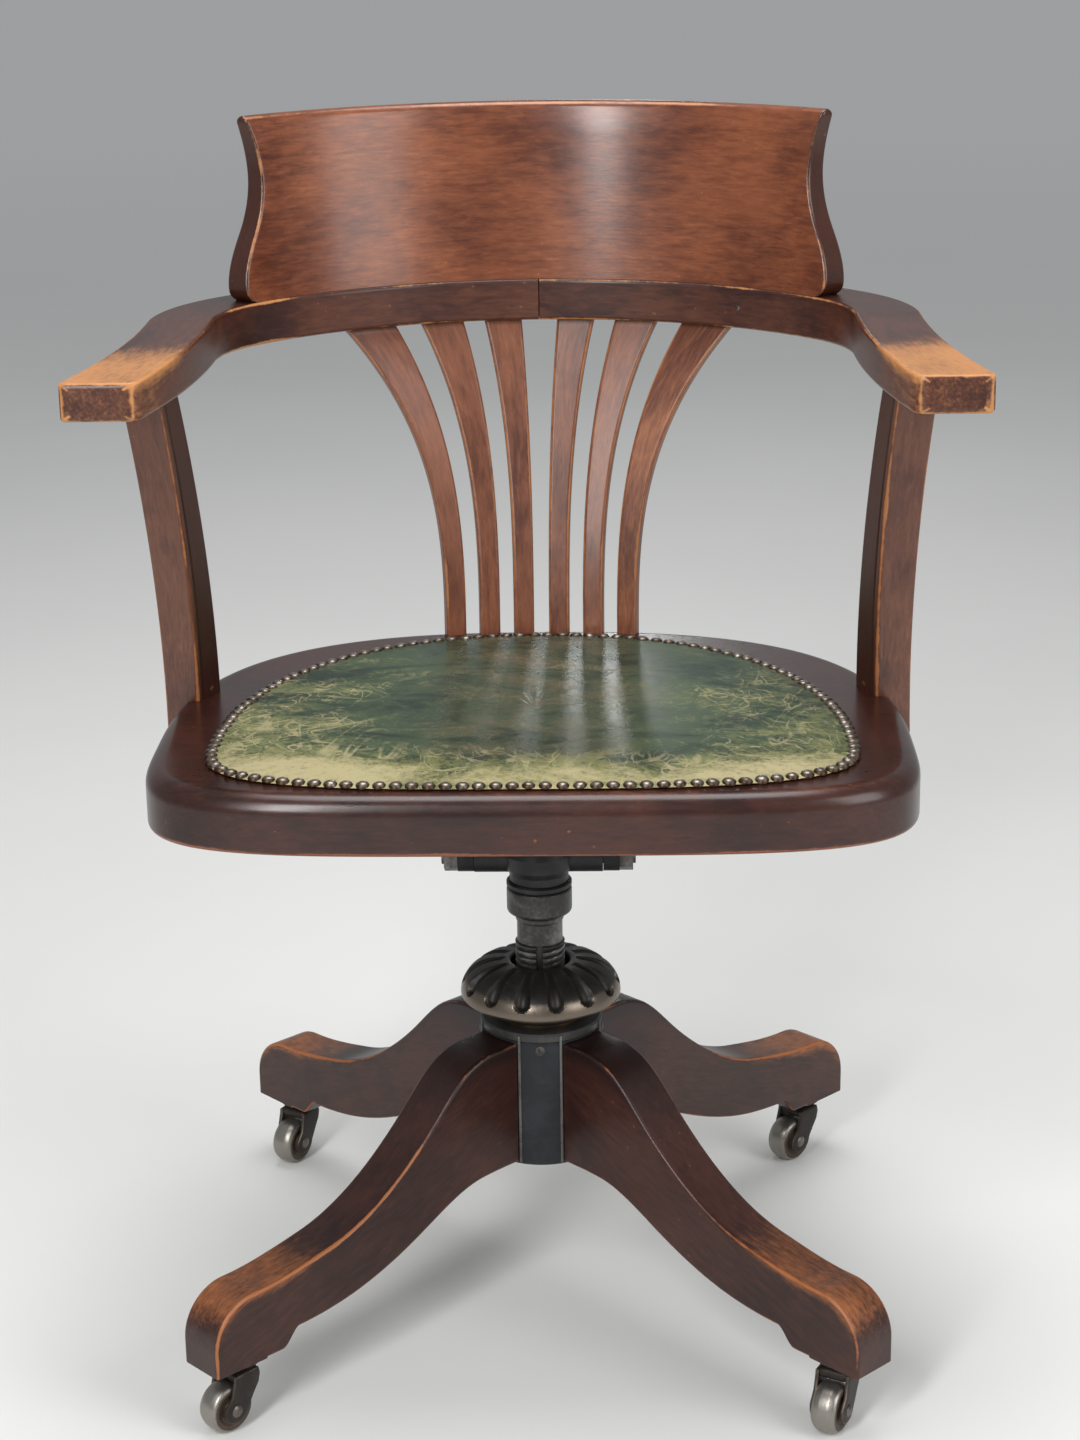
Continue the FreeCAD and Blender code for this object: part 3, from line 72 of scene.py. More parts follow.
# Outlines of the seat and of the leather: half width, front, rear, widest line, front and rear fullness
SEAT_OUTLINE = (0.266, -0.218, 0.194, -0.075, 4.4, 2.6)
PAD_OUTLINE = (0.225, -0.203, 0.170, -0.110, 3.2, 2.2)

# Arm bow in plan
BOW_CENTRE = -0.021
BOW_INNER = 0.260
BOW_WIDTH = 0.048
BOW_CORNER = 0.118
BOW_HALF = 0.231
ARM_FRONT = -0.150
ARM_FRONT_INNER = 0.253
ARM_FRONT_OUTER = 0.307
ARM_FRONT_TOP = 0.731

# The sky, and the far floor that goes over into it
SKY_COLOUR, SKY_LEVEL = (0.80, 0.82, 0.84, 1.0), 0.42


# Curves


def smoothstep(low, high, value):
    """Rises from 0 at low to 1 at high, level at both ends."""
    share = np.clip((value - low) / (high - low), 0.0, 1.0)
    return share * share * (3.0 - 2.0 * share)


def through(knots, place):
    """Cubic pieces through knots (place, height, slope), read at the given places."""
    at, height, slope = np.array(knots, dtype=float).T
    i = np.clip(np.searchsorted(at, place, side="right") - 1, 0, len(at) - 2)
    span = at[i + 1] - at[i]
    t = np.clip((place - at[i]) / span, 0.0, 1.0)
    start = (2 * t ** 3 - 3 * t ** 2 + 1) * height[i] + (t ** 3 - 2 * t ** 2 + t) * span * slope[i]
    return start + (3 * t ** 2 - 2 * t ** 3) * height[i + 1] + (t ** 3 - t ** 2) * span * slope[i + 1]


def d_outline(outline, count):
    """Points spaced evenly round a D: one superellipse ahead of the widest line and a rounder one behind it.
    Gives the points and the unit normals that point outward."""
    half, front, rear, widest, front_full, rear_full = outline
    turn = np.linspace(0.0, 2 * np.pi, 4001)
    behind = np.sin(turn) >= 0
    power = 2.0 / np.where(behind, rear_full, front_full)
    reach = np.where(behind, rear - widest, widest - front)
    x = half * np.sign(np.cos(turn)) * np.abs(np.cos(turn)) ** power
    y = widest + reach * np.sign(np.sin(turn)) * np.abs(np.sin(turn)) ** power
    length = np.concatenate([[0.0], np.cumsum(np.hypot(np.diff(x), np.diff(y)))])
    even = np.linspace(0.0, length[-1], count, endpoint=False)
    points = np.stack([np.interp(even, length, x), np.interp(even, length, y)], axis=-1)
    ahead = np.roll(points, -1, axis=0) - np.roll(points, 1, axis=0)
    normals = np.stack([ahead[:, 1], -ahead[:, 0]], axis=-1)
    return points, normals / np.linalg.norm(normals, axis=1, keepdims=True)


def ways(turn):
    """Unit vectors out along a bearing in plan, in radians, and square to it, anticlockwise."""
    out = np.stack([np.cos(turn), np.sin(turn), np.zeros_like(turn)], axis=-1)
    return out, np.stack([-out[..., 1], out[..., 0], out[..., 2]], axis=-1)


def bearing(degrees):
    return ways(math.radians(degrees))


def column(values):
    return np.asarray(values, dtype=float)[:, None]


# Sections and surfaces

FACE_SHARES = np.array([0.02, 0.12, 0.3, 0.5, 0.7, 0.88, 0.98])
CORNER_TURNS = np.radians(np.linspace(0.0, 90.0, 6))


def rounded_section(half_wide, half_high, radius, wide_shares=FACE_SHARES, high_shares=FACE_SHARES):
    """Rectangles with quarter-circle corners, one per row, run anticlockwise from the right side.
    Gives the places across and up, and how far each point lies from the nearest corner, round the section."""
    half_wide, half_high, radius = column(half_wide), column(half_high), column(radius)
    turns = [CORNER_TURNS + number * np.pi / 2 for number in range(4)]
    x = [side * (half_wide - radius) + radius * np.cos(turn) for side, turn in zip((1, -1, -1, 1), turns)]
    y = [side * (half_high - radius) + radius * np.sin(turn) for side, turn in zip((1, 1, -1, -1), turns)]
    across, up, edge = [], [], []
    for number in range(4):
        shares, half = ((wide_shares, half_wide), (high_shares, half_high))[number % 2]
        for ring, places in ((x, across), (y, up)):
            start, end = ring[number][:, -1:], ring[(number + 1) % 4][:, :1]
            places.extend([ring[number], start + (end - start) * shares])
        edge += [radius * np.abs(CORNER_TURNS - np.pi / 4),
                 np.minimum(shares, 1 - shares) * 2 * (half - radius) + radius * np.pi / 4]
    return np.hstack(across), np.hstack(up), np.hstack(edge)


def carried(across, up, middle, across_way, up_way):
    """Sections carried along a path: each row's middle plus its section along two directions."""
    across_way, up_way = np.atleast_2d(across_way)[:, None], np.atleast_2d(up_way)[:, None]
    return middle[:, None] + across[..., None] * across_way + up[..., None] * up_way


def surface(points, marks=None, ends="fans"):
    """Mesh over rows of closed loops: each point is joined to its neighbour in the loop and to the same point of
    the next loop. The end loops are closed by fans to their middles, joined to each other, or lie shut already."""
    rows, columns, _ = points.shape
    index = np.arange(rows * columns).reshape(rows, columns)
    if ends == "joined":
        index = np.vstack([index, index[:1]])
    after = np.roll(index, -1, axis=1)
    quads = np.stack([index[:-1], after[:-1], after[1:], index[1:]], axis=-1).reshape(-1, 4)
    fans = np.zeros((0, 3), dtype=int)
    if ends == "fans":
        first = np.stack([after[0], index[0], np.full(columns, rows * columns)], axis=-1)
        last = np.stack([index[-1], after[-1], np.full(columns, rows * columns + 1)], axis=-1)
        fans = np.vstack([first, last])

    def in_order(values):
        """Values of the points, row by row, and then of the middles of the fans."""
        listed = values.reshape(-1, *values.shape[2:])
        if ends != "fans":
            return listed
        return np.concatenate([listed, values[:1].mean(axis=1), values[-1:].mean(axis=1)])

    places = in_order(points)
    triangles = np.vstack([quads[:, [0, 1, 2]], quads[:, [0, 2, 3]], fans])
    a, b, c = (places[triangles[:, k]] for k in range(3))
    if np.einsum("ij,ij->", a, np.cross(b, c)) < 0:
        quads, fans = quads[:, ::-1], fans[:, ::-1]
    shapes = {mark: points.shape[:3 if np.ndim(values) == 3 else 2] for mark, values in (marks or {}).items()}
    listed = {mark: in_order(np.broadcast_to(marks[mark], shape)) for mark, shape in shapes.items()}
    return meshed(places, quads.tolist() + fans.tolist(), listed)


def meshed(places, faces, marks, sharp=40.0):
    """Mesh with marks on its points. Points that coincide are merged, faces of no area are dropped, and all but
    the sharp edges are smoothed."""
    mesh = bpy.data.meshes.new("piece")
    mesh.from_pydata(places.tolist(), [], faces)
    for mark, values in marks.items():
        wide = values.ndim == 2
        layer = mesh.attributes.new(mark, "FLOAT_VECTOR" if wide else "FLOAT", "POINT")
        layer.data.foreach_set("vector" if wide else "value", values.ravel())
    work = bmesh.new()
    work.from_mesh(mesh)
    bmesh.ops.remove_doubles(work, verts=work.verts, dist=1e-6)
    bmesh.ops.dissolve_degenerate(work, edges=work.edges, dist=1e-7)
    work.to_mesh(mesh)
    work.free()
    mesh.polygons.foreach_set("use_smooth", np.ones(len(mesh.polygons), dtype=bool))
    mesh.set_sharp_from_angle(angle=math.radians(sharp))
    return mesh


def turned(profile, middle, axis, side, columns=64, start=0.0):
    """Profile (radius, height) turned about an axis through a middle. Gives rows of loops."""
    radius, height = np.asarray(profile, dtype=float).T
    axis, side = np.asarray(axis, dtype=float), np.asarray(side, dtype=float)
    other = np.cross(axis, side)
    turn = start + np.linspace(0.0, 2 * np.pi, columns, endpoint=False)
    round_way = np.cos(turn)[:, None] * side + np.sin(turn)[:, None] * other
    return np.asarray(middle) + radius[:, None, None] * round_way + height[:, None, None] * axis


def softened(profile, radius, steps=4):
    """Open profile whose inner corners are rounded off: each becomes a quadratic arc between the points that lie
    a radius, or a third of the side, away from it."""
    points = np.asarray(profile, dtype=float)
    before, corner, after = points[:-2], points[1:-1], points[2:]
    back, ahead = before - corner, after - corner
    back_long = np.linalg.norm(back, axis=1, keepdims=True)
    ahead_long = np.linalg.norm(ahead, axis=1, keepdims=True)
    start = corner + back * np.minimum(radius / back_long, 0.34)
    end = corner + ahead * np.minimum(radius / ahead_long, 0.34)
    t = np.linspace(0.0, 1.0, steps)[None, :, None]
    arcs = (1 - t) ** 2 * start[:, None] + 2 * t * (1 - t) * corner[:, None] + t ** 2 * end[:, None]
    return np.vstack([points[:1], arcs.reshape(-1, 2), points[-1:]])


def piece(name, mesh, body, finish, replaced=()):
    """Sets a mesh in the scene with its finish, on the body that it moves with."""
    mesh.name = name
    made = bpy.data.objects.new(name, mesh)
    bpy.context.scene.collection.objects.link(made)
    mesh.materials.append(finish)
    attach(made, body)
    if replaced:
        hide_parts(*replaced)
    return made


def wooden(name, node, points, grain, edge, rub, finish, body="seat", ends="fans"):
    """Wooden piece with the marks that its finish reads: place along and across the grain, distance from an edge
    and rubbed share, which below zero paints grime and shade."""
    mesh = surface(points, {"grain": grain, "edge": edge, "rub": rub}, ends)
    piece(name, mesh, body, finish, (node,))


def dress(finish, *nodes):
    """Gives nodes of the frame a finish."""
    for node in nodes:
        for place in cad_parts[node].material_slots:
            place.material = finish


# Finishes


def operation(kind, reflected=False):
    """Operator that adds a Math node to the finish of its value."""
    def apply(value, other):
        first, second = (other, value) if reflected else (value, other)
        return value.finish.node("ShaderNodeMath", {"operation": kind}, {0: first, 1: second})
    return apply


class Wire:
    """One value in a finish. Arithmetic on it adds Math nodes to that finish."""

    def __init__(self, finish, socket):
        self.finish = finish
        self.socket = socket

    def size(self):
        return self.finish.node("ShaderNodeMath", {"operation": "ABSOLUTE"}, {0: self})

    __add__ = __radd__ = operation("ADD")
    __mul__ = __rmul__ = operation("MULTIPLY")
    __sub__ = operation("SUBTRACT")
    __rsub__ = operation("SUBTRACT", reflected=True)
    most = operation("MAXIMUM")


class Finish:
    """A procedural material, made node by node. Settings that are the same all over go on its shader."""

    def __init__(self, name, settings):
        self.material = bpy.data.materials.new(name)
        self.material.use_nodes = True
        self.tree = self.material.node_tree
        self.tree.nodes.clear()
        self.shader = self.tree.nodes.new("ShaderNodeBsdfPrincipled")
        self.output = self.tree.nodes.new("ShaderNodeOutputMaterial")
        self.tree.links.new(self.shader.outputs[0], self.output.inputs[0])
        for socket, value in settings.items():
            self.feed(socket, value)

    def feed(self, socket, value):
        target = self.shader.inputs[socket]
        if isinstance(value, Wire):
            self.tree.links.new(value.socket, target)
        else:
            target.default_value = value

    def node(self, kind, settings, sockets, output=0):
        """Any node: its settings first, then the values or links of its sockets."""
        made = self.tree.nodes.new(kind)
        for name, value in settings.items():
            setattr(made, name, value)
        for name, value in sockets.items():
            if isinstance(value, Wire):
                self.tree.links.new(value.socket, made.inputs[name])
            else:
                made.inputs[name].default_value = value
        return Wire(self, made.outputs[output])

    def mark(self, name, output="Fac"):
        return self.node("ShaderNodeAttribute", {"attribute_name": name}, {}, output)

    def place(self):
        return self.node("ShaderNodeTexCoord", {}, {}, "Object")

    def stretched(self, vector, scale, turn=(0.0, 0.0, 0.0), shift=(0.0, 0.0, 0.0)):
        return self.node("ShaderNodeMapping", {}, {"Vector": vector, "Location": shift, "Rotation": turn,
                                                   "Scale": scale})

    def noise(self, vector, scale, detail=3.0, roughness=0.55, distortion=0.0):
        return self.node("ShaderNodeTexNoise", {}, {"Vector": vector, "Scale": scale, "Detail": detail,
                                                    "Roughness": roughness, "Distortion": distortion})

    def cells(self, vector, scale):
        return self.node("ShaderNodeTexVoronoi", {}, {"Vector": vector, "Scale": scale})

    def step(self, value, low, high):
        return self.node("ShaderNodeMapRange", {"interpolation_type": "SMOOTHSTEP"},
                         {"Value": value, "From Min": low, "From Max": high})

    def blend(self, share, first, second):
        colours = {name: colour if isinstance(colour, Wire) else (*colour, 1.0)
                   for name, colour in ((6, first), (7, second))}
        return self.node("ShaderNodeMix", {"data_type": "RGBA"}, {0: share, **colours}, 2)

    def done(self, colour, rough, height, strength, depth):
        """Feeds the colour, the roughness and a bump from the height, and gives the material."""
        bump = self.node("ShaderNodeBump", {}, {"Strength": strength, "Distance": depth, "Height": height})
        for socket, value in (("Base Color", colour), ("Roughness", rough), ("Normal", bump)):
            self.feed(socket, value)
        return self.material


def stained_wood(name, tones, shift, wear=1.0, gloss=0.34, varnish=0.12, knocks=0.15):
    """Stained and varnished wood: dark and light figure, mottling and short pores along the grain, clouded stain,
    stain rubbed through to amber along edges and on handled places, grime and painted shade where the rub mark falls
    below zero, small knocks, and a soft varnish."""
    dark, middle, light, amber = tones
    made = Finish(name, {"Specular IOR Level": 0.38, "Coat Weight": varnish, "Coat Roughness": 0.20})
    grain = made.stretched(made.mark("grain", "Vector"), (1.0, 1.0, 1.0), shift=shift)
    figure = made.noise(made.stretched(grain, (11.0, 52.0, 52.0)), 1.0, 6.0, 0.65, 1.1)
    mottle = made.noise(made.stretched(grain, (48.0, 210.0, 210.0)), 1.0, 4.0, 0.62, 0.6)
    fibre = made.noise(made.stretched(grain, (60.0, 430.0, 430.0)), 1.0, 3.0, 0.6)
    pore = made.noise(made.stretched(grain, (150.0, 1300.0, 1300.0)), 1.0, 1.0)
    cloud = made.noise(grain, 9.0, 4.0, 0.6, 0.4)
    ragged = made.noise(grain, 130.0, 4.0, 0.7)
    rub = made.mark("rub")
    colour = made.blend(made.step(figure * 0.35 + cloud * 0.45 + mottle * 0.2, 0.33, 0.60), dark, middle)
    light_share = made.step(cloud * 0.45 + fibre * 0.25 + mottle * 0.3 + rub * 0.1, 0.42, 0.72)
    colour = made.blend(light_share * 0.85, colour, light)
    colour = made.blend(made.step(pore, 0.60, 0.76) * 0.4, colour, dark)
    # Grime in clouds, and painted shade: where the rub mark is below zero the wood is darkened toward a deep brown.
    grime_and_shade = made.step((cloud - 0.5) * 0.4 - rub, 0.1, 0.75)
    colour = made.blend(grime_and_shade * 0.85, colour, tuple(part * 0.45 for part in dark))
    rubbed = made.step(rub + (cloud - 0.5) * 0.8 + (fibre - 0.5) * 0.6 + (ragged - 0.5) * 0.4, 0.28, 1.0)
    colour = made.blend(rubbed * 0.85, colour, amber)
    edge = made.mark("edge") + (ragged - 0.5) * 0.0022 + (cloud - 0.46) * 0.006 - rub * 0.0006
    worn = (1.0 - made.step(edge, 0.0001, 0.0013)) * wear
    colour = made.blend(worn * 0.75, colour, amber)
    spot = 1.0 - made.step(made.cells(grain, 95.0) + (ragged - 0.5) * 0.14, 0.06, 0.12)
    knocked = spot * made.step(mottle + (cloud - 0.5) * 0.8, 0.50, 0.60)
    colour = made.blend(knocked * knocks, colour, amber)
    rough = gloss + cloud * 0.14 + pore * 0.06 + worn * 0.12 + rubbed * 0.08 + mottle * 0.06 - 0.11
    return made.done(colour, rough, fibre * 0.3 - pore * 0.25 + cloud * 0.8 + ragged * 0.2, 0.3, 0.0005)


WOOD_TONES = {
    "crest": ((0.064, 0.016, 0.008), (0.160, 0.043, 0.017), (0.280, 0.088, 0.035), (0.520, 0.205, 0.070)),
    "bow": ((0.022, 0.007, 0.006), (0.066, 0.020, 0.012), (0.130, 0.044, 0.022), (0.600, 0.260, 0.085)),
    "slat": ((0.066, 0.018, 0.009), (0.165, 0.052, 0.024), (0.260, 0.094, 0.045), (0.500, 0.200, 0.070)),
    "post": ((0.050, 0.015, 0.010), (0.105, 0.036, 0.020), (0.160, 0.062, 0.035), (0.440, 0.170, 0.062)),
    "seat": ((0.014, 0.004, 0.003), (0.034, 0.009, 0.006), (0.066, 0.018, 0.010), (0.280, 0.085, 0.032)),
    "leg": ((0.016, 0.005, 0.004), (0.040, 0.012, 0.008), (0.074, 0.025, 0.015), (0.400, 0.135, 0.042)),
}


def iron(name, colour, worn_colour, rough, metal, scale=1.0):
    """Blackened cast iron: grainy skin, dusty patches and metal showing where edges are rubbed."""
    made = Finish(name, {"Specular IOR Level": 0.4})
    place = made.place()
    skin = made.noise(place, 420.0 * scale, 4.0, 0.65)
    patch = made.noise(place, 38.0 * scale, 4.0, 0.6, 0.5)
    worn = made.step(made.mark("worn") + (patch - 0.5) * 0.7 + (skin - 0.5) * 0.4, 0.35, 0.85)
    dust = made.step(patch, 0.42, 0.75)
    base = made.blend(dust * 0.5, colour, tuple(part * 2.4 + 0.006 for part in colour))
    made.feed("Metallic", worn * (0.9 - metal) + metal)
    rough = rough + (skin - 0.5) * 0.25 - worn * 0.12 + dust * 0.08
    return made.done(made.blend(worn, base, worn_colour), rough, skin * 0.6 + patch * 0.6, 0.3, 0.0005)


def plain_metal(name, colour, rough, tarnish):
    """Bright or darkened metal with drawn scratches and cloudy tarnish."""
    made = Finish(name, {"Metallic": 0.9})
    place = made.place()
    cloud = made.noise(place, 60.0, 4.0, 0.6, 0.4)
    scratch = made.noise(made.stretched(place, (900.0, 900.0, 60.0)), 1.0, 2.0)
    colour = made.blend(made.step(cloud, 0.38, 0.68), colour, tarnish)
    rough = rough + (cloud - 0.4) * 0.35 + (scratch - 0.5) * 0.15
    return made.done(colour, rough, scratch * 0.5 + cloud * 0.5, 0.2, 0.0003)


def soft_black(name, colour, rough):
    """Rubber or thick black leather: fine pebbling and a dusty bloom."""
    made = Finish(name, {"Specular IOR Level": 0.35})
    place = made.place()
    pebble = made.cells(place, 900.0)
    bloom = made.noise(place, 70.0, 4.0, 0.6)
    colour = made.blend(made.step(bloom, 0.4, 0.75) * 0.6, colour, (0.05, 0.048, 0.045))
    return made.done(colour, rough + (bloom - 0.5) * 0.2, pebble, 0.25, 0.0003)


def old_leather(colours):
    """Green hide, dark where it kept its dye and sallow where sitting has worn it: clouded wear that grows to the
    front and the sides, hair-thin scratches that cross each other, speckle, pebbled grain and shallow dents."""
    deep, green, sallow, ochre = (tuple(colour) for colour in (colours.leather_deep, colours.leather_green,
                                                               colours.leather_sallow, colours.leather_ochre))
    made = Finish("green_leather", {"Specular IOR Level": 0.13})
    place = made.place()
    rub = made.mark("rub")
    broad = made.noise(place, 7.0, 5.0, 0.62, 0.8)
    patch = made.noise(made.stretched(place, (11.0, 19.0, 15.0), shift=(0.3, 1.7, 0.0)), 1.0, 10.0, 0.76, 0.7)
    fine = made.noise(place, 95.0, 6.0, 0.75)
    speck = made.noise(place, 330.0, 3.0, 0.7)
    pebble = made.cells(place, 520.0)
    lines = None
    for scale, turn, width in ((19.0, 0.4, 0.014), (28.0, 1.2, 0.016), (41.0, 2.0, 0.019), (58.0, 2.8, 0.022)):
        spun = made.stretched(place, (1.0, 1.0, 1.0), (0.0, 0.0, turn), (scale, turn, 0.0))
        hair = (made.noise(made.stretched(spun, (1.0, 0.45, 1.0)), scale, 2.0, 0.5, 0.9) - 0.5).size()
        thin = 1.0 - made.step(hair + (fine - 0.5) * 0.02, width * 0.1, width)
        lines = thin if lines is None else lines.most(thin)
    lines = lines * made.step(made.noise(place, 31.0, 4.0, 0.65, 0.5), 0.38, 0.56)
    aside = made.node("ShaderNodeSeparateXYZ", {}, {0: place}, "X").size()
    middle = 1.0 - made.step(aside + (broad - 0.5) * 0.1, 0.02, 0.11)
    polished = 1.0 - made.step(aside + (broad - 0.5) * 0.06, 0.06, 0.12)
    colour = made.blend(made.step(broad * 0.4 + patch * 0.6, 0.40, 0.56), deep, green)
    colour = made.blend(middle * made.step(patch * 0.7 + fine * 0.3, 0.42, 0.58) * 0.8, colour, (0.100, 0.080, 0.050))
    grit = (fine - 0.5) * 0.8 + (speck - 0.5) * 0.5
    wear = made.step(rub * 0.55 + patch * 1.2 + grit - 0.73, 0.0, 0.32)
    colour = made.blend(wear * 0.8, colour, sallow)
    bare = made.step(rub * 0.95 + patch * 1.1 + grit - 1.17, 0.0, 0.36)
    colour = made.blend(bare * 0.9, colour, ochre)
    shown = lines * made.step(rub * 0.55 + broad * 0.55 + (patch - 0.5) * 0.9, 0.26, 0.62)
    colour = made.blend(shown * (1.0 - bare) * 0.65, colour, ochre)
    colour = made.blend(made.step(fine * 0.45 + (1.0 - patch) * 0.55, 0.50, 0.62) * 0.45, colour, deep)
    colour = made.blend(made.step(speck * 0.6 + fine * 0.4, 0.56, 0.66) * 0.5, colour, (0.040, 0.034, 0.018))
    rough = 0.42 - polished * 0.16 + (patch - 0.5) * 0.10 + wear * 0.08 + lines * 0.04
    return made.done(colour, rough, pebble * -0.3 + fine * 0.5 + patch - lines * 0.3, 0.2, 0.0005)


def nail_metal():
    """Domed nails: silvery on their crowns, brown where polish never reaches."""
    made = Finish("nail_metal", {"Metallic": 1.0})
    place = made.place()
    age = made.noise(place, 140.0, 3.0, 0.6)
    worn = made.step(made.mark("worn") + (age - 0.5) * 1.3, 0.35, 0.95)
    colour = made.blend(worn, (0.07, 0.046, 0.030), (0.30, 0.265, 0.225))
    return made.done(colour, 0.48 - worn * 0.14, made.noise(place, 900.0, 2.0), 0.15, 0.0003)


def floor_finish(colour):
    """Pale matt floor that takes the shadow near the chair and goes over, far off, into the sky's even tone."""
    made = Finish("pale_floor", {"Roughness": 0.85, "Specular IOR Level": 0.2})
    place = made.place()
    cloud = made.noise(place, 1.3, 4.0, 0.6)
    shade = tuple(part * 0.97 for part in colour)
    made.feed("Base Color", made.blend(made.step(cloud, 0.3, 0.7), colour, shade))
    away = made.node("ShaderNodeVectorMath", {"operation": "LENGTH"}, {0: place}, "Value")
    path = {name: made.node("ShaderNodeLightPath", {}, {}, name)
            for name in ("Is Camera Ray", "Is Glossy Ray", "Is Transmission Ray")}
    seen = path["Is Camera Ray"].most(path["Is Glossy Ray"]).most(path["Is Transmission Ray"])
    ground = made.node("ShaderNodeEmission", {}, {"Color": SKY_COLOUR, "Strength": SKY_LEVEL})
    whole = made.node("ShaderNodeMixShader", {}, {0: made.step(away, 1.2, 9.0) * seen,
                                                  1: Wire(made, made.shader.outputs[0]), 2: ground})
    made.tree.links.new(whole.socket, made.output.inputs[0])
    return made.material


# Sizes and colours that can be changed


def length(name, description, default):
    return FloatProperty(name=name, description=description, default=default, unit="LENGTH", precision=4)


def colour(name, description, default):
    return FloatVectorProperty(name=name, description=description, default=default, size=3, subtype="COLOR",
                               min=0.0, max=1.0)


class ChairSizes(bpy.types.PropertyGroup):
    wood_edge: length("Wood edge", "Radius of the softened edges of the wood", 0.0028)
    crest_edge: length("Crest edge", "Radius along the top of the crest rail", 0.0055)
    nail_radius: length("Nail radius", "Radius of a dome nail", 0.0050)
    nail_rise: length("Nail rise", "Height of a dome nail", 0.0030)
    nail_pitch: length("Nail pitch", "Distance from one dome nail to the next", 0.0111)
    nail_inset: length("Nail inset", "Distance of the nails from the edge of the leather", 0.0048)
    thread_pitch: length("Thread pitch", "Rise of the screw in one turn", 0.005)
    thread_depth: length("Thread depth", "Depth of the screw's grooves", 0.0019)
    pad_swell: length("Pad swell", "Most that the leather may rise in the simulation", 0.004)


class ChairColours(bpy.types.PropertyGroup):
    leather_deep: colour("Deep leather", "Dyed leather in the middle", (0.016, 0.031, 0.021))
    leather_green: colour("Green leather", "Leather where the dye has thinned", (0.046, 0.074, 0.040))
    leather_sallow: colour("Sallow leather", "Rubbed leather", (0.195, 0.200, 0.080))
    leather_ochre: colour("Ochre leather", "Leather worn bare", (0.430, 0.370, 0.205))
    floor: colour("Floor", "Pale floor", (0.78, 0.78, 0.76))


# Base


class CHAIR_OT_legs(bpy.types.Operator):
    """Four splayed legs, sawn to an S in side view and softened along their edges"""
    bl_idname = "chair.legs"
    bl_label = "Legs"

    back = ((0.039, 0.215, 0.0), (0.090, 0.208, -0.510), (0.128, 0.174, -0.966), (0.227, 0.116, -0.194),
            (0.295, 0.107, 0.0))
    belly = ((0.039, 0.118, 0.0), (0.080, 0.117, -0.087), (0.135, 0.097, -0.488), (0.216, 0.0695, -0.158),
             (0.256, 0.066, 0.0), (0.272, 0.053, 0.0), (0.340, 0.053, 0.0))
    half_thick = 0.019
    root, top = 0.0435, 0.2144
    step = (0.250, 0.276)
    toe_start, toe_height, toe_radius = 0.295, 0.072, 0.035
    heel, foot = 0.285, 0.0532
    grain_lean = math.radians(20.0)

    def side_view(self):
        """Back and belly points of each section: upright cuts along the shank, then a fan of cuts round the toe."""
        shank = np.linspace(self.root, self.toe_start, 56)
        run = np.unique(np.concatenate([shank, np.linspace(*self.step, 16)]))
        toe = np.radians(np.linspace(0.0, 90.0, 14)[1:])
        fall = np.linspace(self.toe_height, self.foot, 6)[1:]
        tip = self.toe_start + self.toe_radius
        back_x = np.concatenate([run, self.toe_start + self.toe_radius * np.sin(toe), np.full(len(fall), tip)])
        back_z = np.concatenate([np.minimum(through(self.back, run), self.top),
                                 self.toe_height + self.toe_radius * np.cos(toe), fall])
        belly_x = np.minimum(back_x, self.heel)
        return back_x, back_z, belly_x, through(self.belly, belly_x)

    def execute(self, context):
        edge_radius = context.scene.chair_sizes.wood_edge
        back_x, back_z, belly_x, belly_z = self.side_view()
        rise = np.stack([back_x - belly_x, np.zeros_like(back_x), back_z - belly_z], axis=-1)
        deep = np.linalg.norm(rise, axis=1)
        middle = np.stack([(back_x + belly_x) / 2, np.zeros_like(back_x), (back_z + belly_z) / 2], axis=-1)
        rows = len(back_x)
        across, up, edge = rounded_section(np.full(rows, self.half_thick), deep / 2, np.full(rows, edge_radius))
        flat = carried(across, up, middle, np.array([0.0, 1.0, 0.0]), rise / deep[:, None])
        lean = self.grain_lean
        along = flat[..., 0] * math.cos(lean) - flat[..., 2] * math.sin(lean)
        over = flat[..., 0] * math.sin(lean) + flat[..., 2] * math.cos(lean)
        on_back = smoothstep(0.55, 0.95, up / column(deep / 2)) * column(smoothstep(0.35, 0.85, rise[:, 2] / deep))
        run = flat[..., 0]
        rub = 0.06 + on_back * smoothstep(0.17, 0.27, run) * 0.62
        # Negative rub on the tops near the hub, and all round the root, is painted shade: the shadow that the hub and
        # handwheel cast there.
        rub = rub - on_back * smoothstep(0.17, 0.09, run) * 0.55 - smoothstep(0.11, 0.05, run) * 0.25
        finish = stained_wood("stained_wood_leg", WOOD_TONES["leg"], (0.0, 0.0, 0.0), 1.0, 0.36, 0.12, 0.2)
        for number, corner in enumerate(CORNERS):
            out, side = bearing(LEG_BEARINGS[corner])
            places = flat[..., :1] * out + flat[..., 1:2] * side + flat[..., 2:] * UP
            grain = np.stack([along + number * 1.3, flat[..., 1] + number * 0.7, over], axis=-1)
            wooden("wood_leg_" + corner, "leg_" + corner, places, grain, edge, rub, finish, "base")
        return {"FINISHED"}


